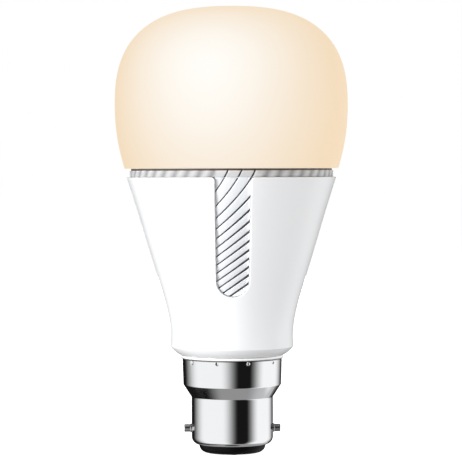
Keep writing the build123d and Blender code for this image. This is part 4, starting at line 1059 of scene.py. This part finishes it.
def around_lamp(material, split):
    """Tent brightness by direction around the lamp."""
    ahead = maths(material, "MULTIPLY", split.outputs["Y"], -1.0)
    direction = maths(material, "ARCTAN2", split.outputs["X"], ahead)
    share = remap(material, direction, 0, 1, -math.pi, math.pi)
    stops = []
    for fade_in, full, fade_out, gone, level in SOFT_BOXES:
        stops += [(fade_in, GAP_LEVEL), (full, level), (fade_out, level), (gone, GAP_LEVEL)]
    return ramp(material, share, [((degrees + 180) / 360, level) for degrees, level in stops], "EASE")


def make_tent():
    maker = MeshMaker()
    wall = np.array([[TENT_R, TENT_LOW], [TENT_R, TENT_HIGH], [0, TENT_HIGH]]) / MM
    lathe(maker, wall, 96, closed=False)
    tent = maker.build("light_tent")
    material, glow = emission_material("tent_light", 1.0)
    split = add_node(material, "ShaderNodeSeparateXYZ")
    link(material, place(material), split.inputs[0])
    sideways = maths(material, "ABSOLUTE", split.outputs["X"])
    ahead = remap(material, sideways, 1, 0, GAP_HALF - 0.02, GAP_HALF + 0.02)
    span = TENT_HIGH - TENT_LOW
    rise = remap(material, split.outputs["Z"], 0, 1, TENT_LOW, TENT_HIGH)
    gap = ramp(material, rise, [((z - TENT_LOW) / span, level) for z, level in GAP_STOPS])
    level = mix(material, maths(material, "MULTIPLY", ahead, gap), around_lamp(material, split), (0, 0, 0))
    high = remap(material, split.outputs["Z"], 0, 1, HIGH_Z, HIGH_Z + 0.04)
    link(material, mix(material, high, level, (HIGH_LEVEL,) * 3), glow.inputs["Color"])
    tent.data.materials.append(material)
    only_glossy(tent)

    # Under the lamp: grey levels from left to right, where its taper looks. The tent's own levels in front,
    # and a dark patch straight below, which the lower sides of the pins reflect.
    under_maker = MeshMaker()
    lathe(under_maker, [(0, UNDER_Z / MM), (UNDER_R / MM, UNDER_Z / MM)], 48, closed=False)
    under = under_maker.build("light_tent_floor")
    material, glow = emission_material("under_light", 1.0)
    split = add_node(material, "ShaderNodeSeparateXYZ")
    link(material, place(material), split.inputs[0])
    across, back = split.outputs["X"], split.outputs["Y"]
    share = remap(material, across, 0, 1, -0.5, 0.5)
    # The tent's levels begin in front of a line that bends back towards its sides
    aside = maths(material, "ABSOLUTE", across)
    bend = maths(material, "MULTIPLY", maths(material, "POWER", aside, 2.0), 1.5)
    curl = maths(material, "MULTIPLY", maths(material, "POWER", aside, 6.0), 20.0)
    beyond = maths(material, "SUBTRACT", back, maths(material, "ADD", bend, curl))
    front = remap(material, beyond, 1, 0, FRONT_Y - 0.02, FRONT_Y + 0.02)
    levels = mix(material, front, ramp(material, share, UNDER_STOPS, "EASE"), around_lamp(material, split))
    square_across, square_back = maths(material, "POWER", across, 2.0), maths(material, "POWER", back, 2.0)
    square = maths(material, "ADD", square_across, square_back)
    patch = remap(material, square, 1, 0, (PATCH_R - 0.01) ** 2, (PATCH_R + 0.01) ** 2)
    levels = mix(material, patch, levels, (0.01, 0.01, 0.01))
    link(material, levels, glow.inputs["Color"])
    under.data.materials.append(material)
    only_glossy(under)


make_tent()


def area_light(name, turn, rise, distance, size, power, colour=(1, 1, 1), target=None):
    """Soft box aimed at a point of the lamp. turn is to the right of the front, rise above it, in degrees."""
    data = bpy.data.lights.new(name, "AREA")
    data.shape = "RECTANGLE"
    data.size, data.size_y = size
    data.energy = power
    data.color = colour
    light = bpy.data.objects.new(name, data)
    bpy.context.scene.collection.objects.link(light)
    turn, rise = math.radians(turn), math.radians(rise)
    away = Vector((math.sin(turn) * math.cos(rise), -math.cos(turn) * math.cos(rise), math.sin(rise)))
    middle = Vector((0, 0, (cad_bounds[0][2] + cad_bounds[1][2]) / 2))
    target = middle if target is None else Vector(target)
    light.location = target + away * distance
    light.rotation_euler = away.to_track_quat("Z", "Y").to_euler()
    light.visible_camera = False
    light.visible_glossy = False
    return light


studio_lights = [
    area_light("key_left", -45, 4, 1.0, (0.5, 0.7), 14.3),
    area_light("side_left", -110, 4, 1.0, (0.4, 0.7), 3.0),
    area_light("rim_right", 100, 4, 1.0, (0.4, 0.7), 9.0),
    area_light("front_fill", 20, -25, 1.0, (0.4, 0.5), 3.4),
    area_light("back_fill", 180, 10, 1.0, (0.6, 0.6), 5.0),
]
# The globe is lit from within, so the studio lights leave it out. Small ones of its own lift its middle, at
# the front and the back, and its top.
globe_glow = (0.27, 0.62, 1.0)
globe_middle = (0, 0, 0.101)
globe_lights = [
    area_light("globe_front", -12, 8, 0.1, (0.012, 0.012), 0.0245, globe_glow, globe_middle),
    area_light("globe_back", 172, 6, 0.1, (0.012, 0.012), 0.018, globe_glow, globe_middle),
    area_light("globe_top", -20, 80, 0.12, (0.06, 0.06), 0.008, globe_glow, globe_middle),
]


def light_only(lights, state):
    """Makes lights include or leave out the globe."""
    group = bpy.data.collections.new("globe_" + state.lower())
    group.objects.link(bpy.data.objects["globe"])
    group.collection_objects[0].light_linking.link_state = state
    for light in lights:
        light.light_linking.receiver_collection = group


light_only(studio_lights, "EXCLUDE")
light_only(globe_lights, "INCLUDE")

world = bpy.data.worlds.new("world")
bpy.context.scene.world = world
world.use_nodes = True
world.node_tree.nodes["Background"].inputs["Color"].default_value = (1, 1, 1, 1)
world.node_tree.nodes["Background"].inputs["Strength"].default_value = 1.0
world.cycles_visibility.glossy = False
world.cycles_visibility.diffuse = False

bpy.context.scene.view_settings.view_transform = "Standard"
bpy.context.scene.view_settings.look = "None"
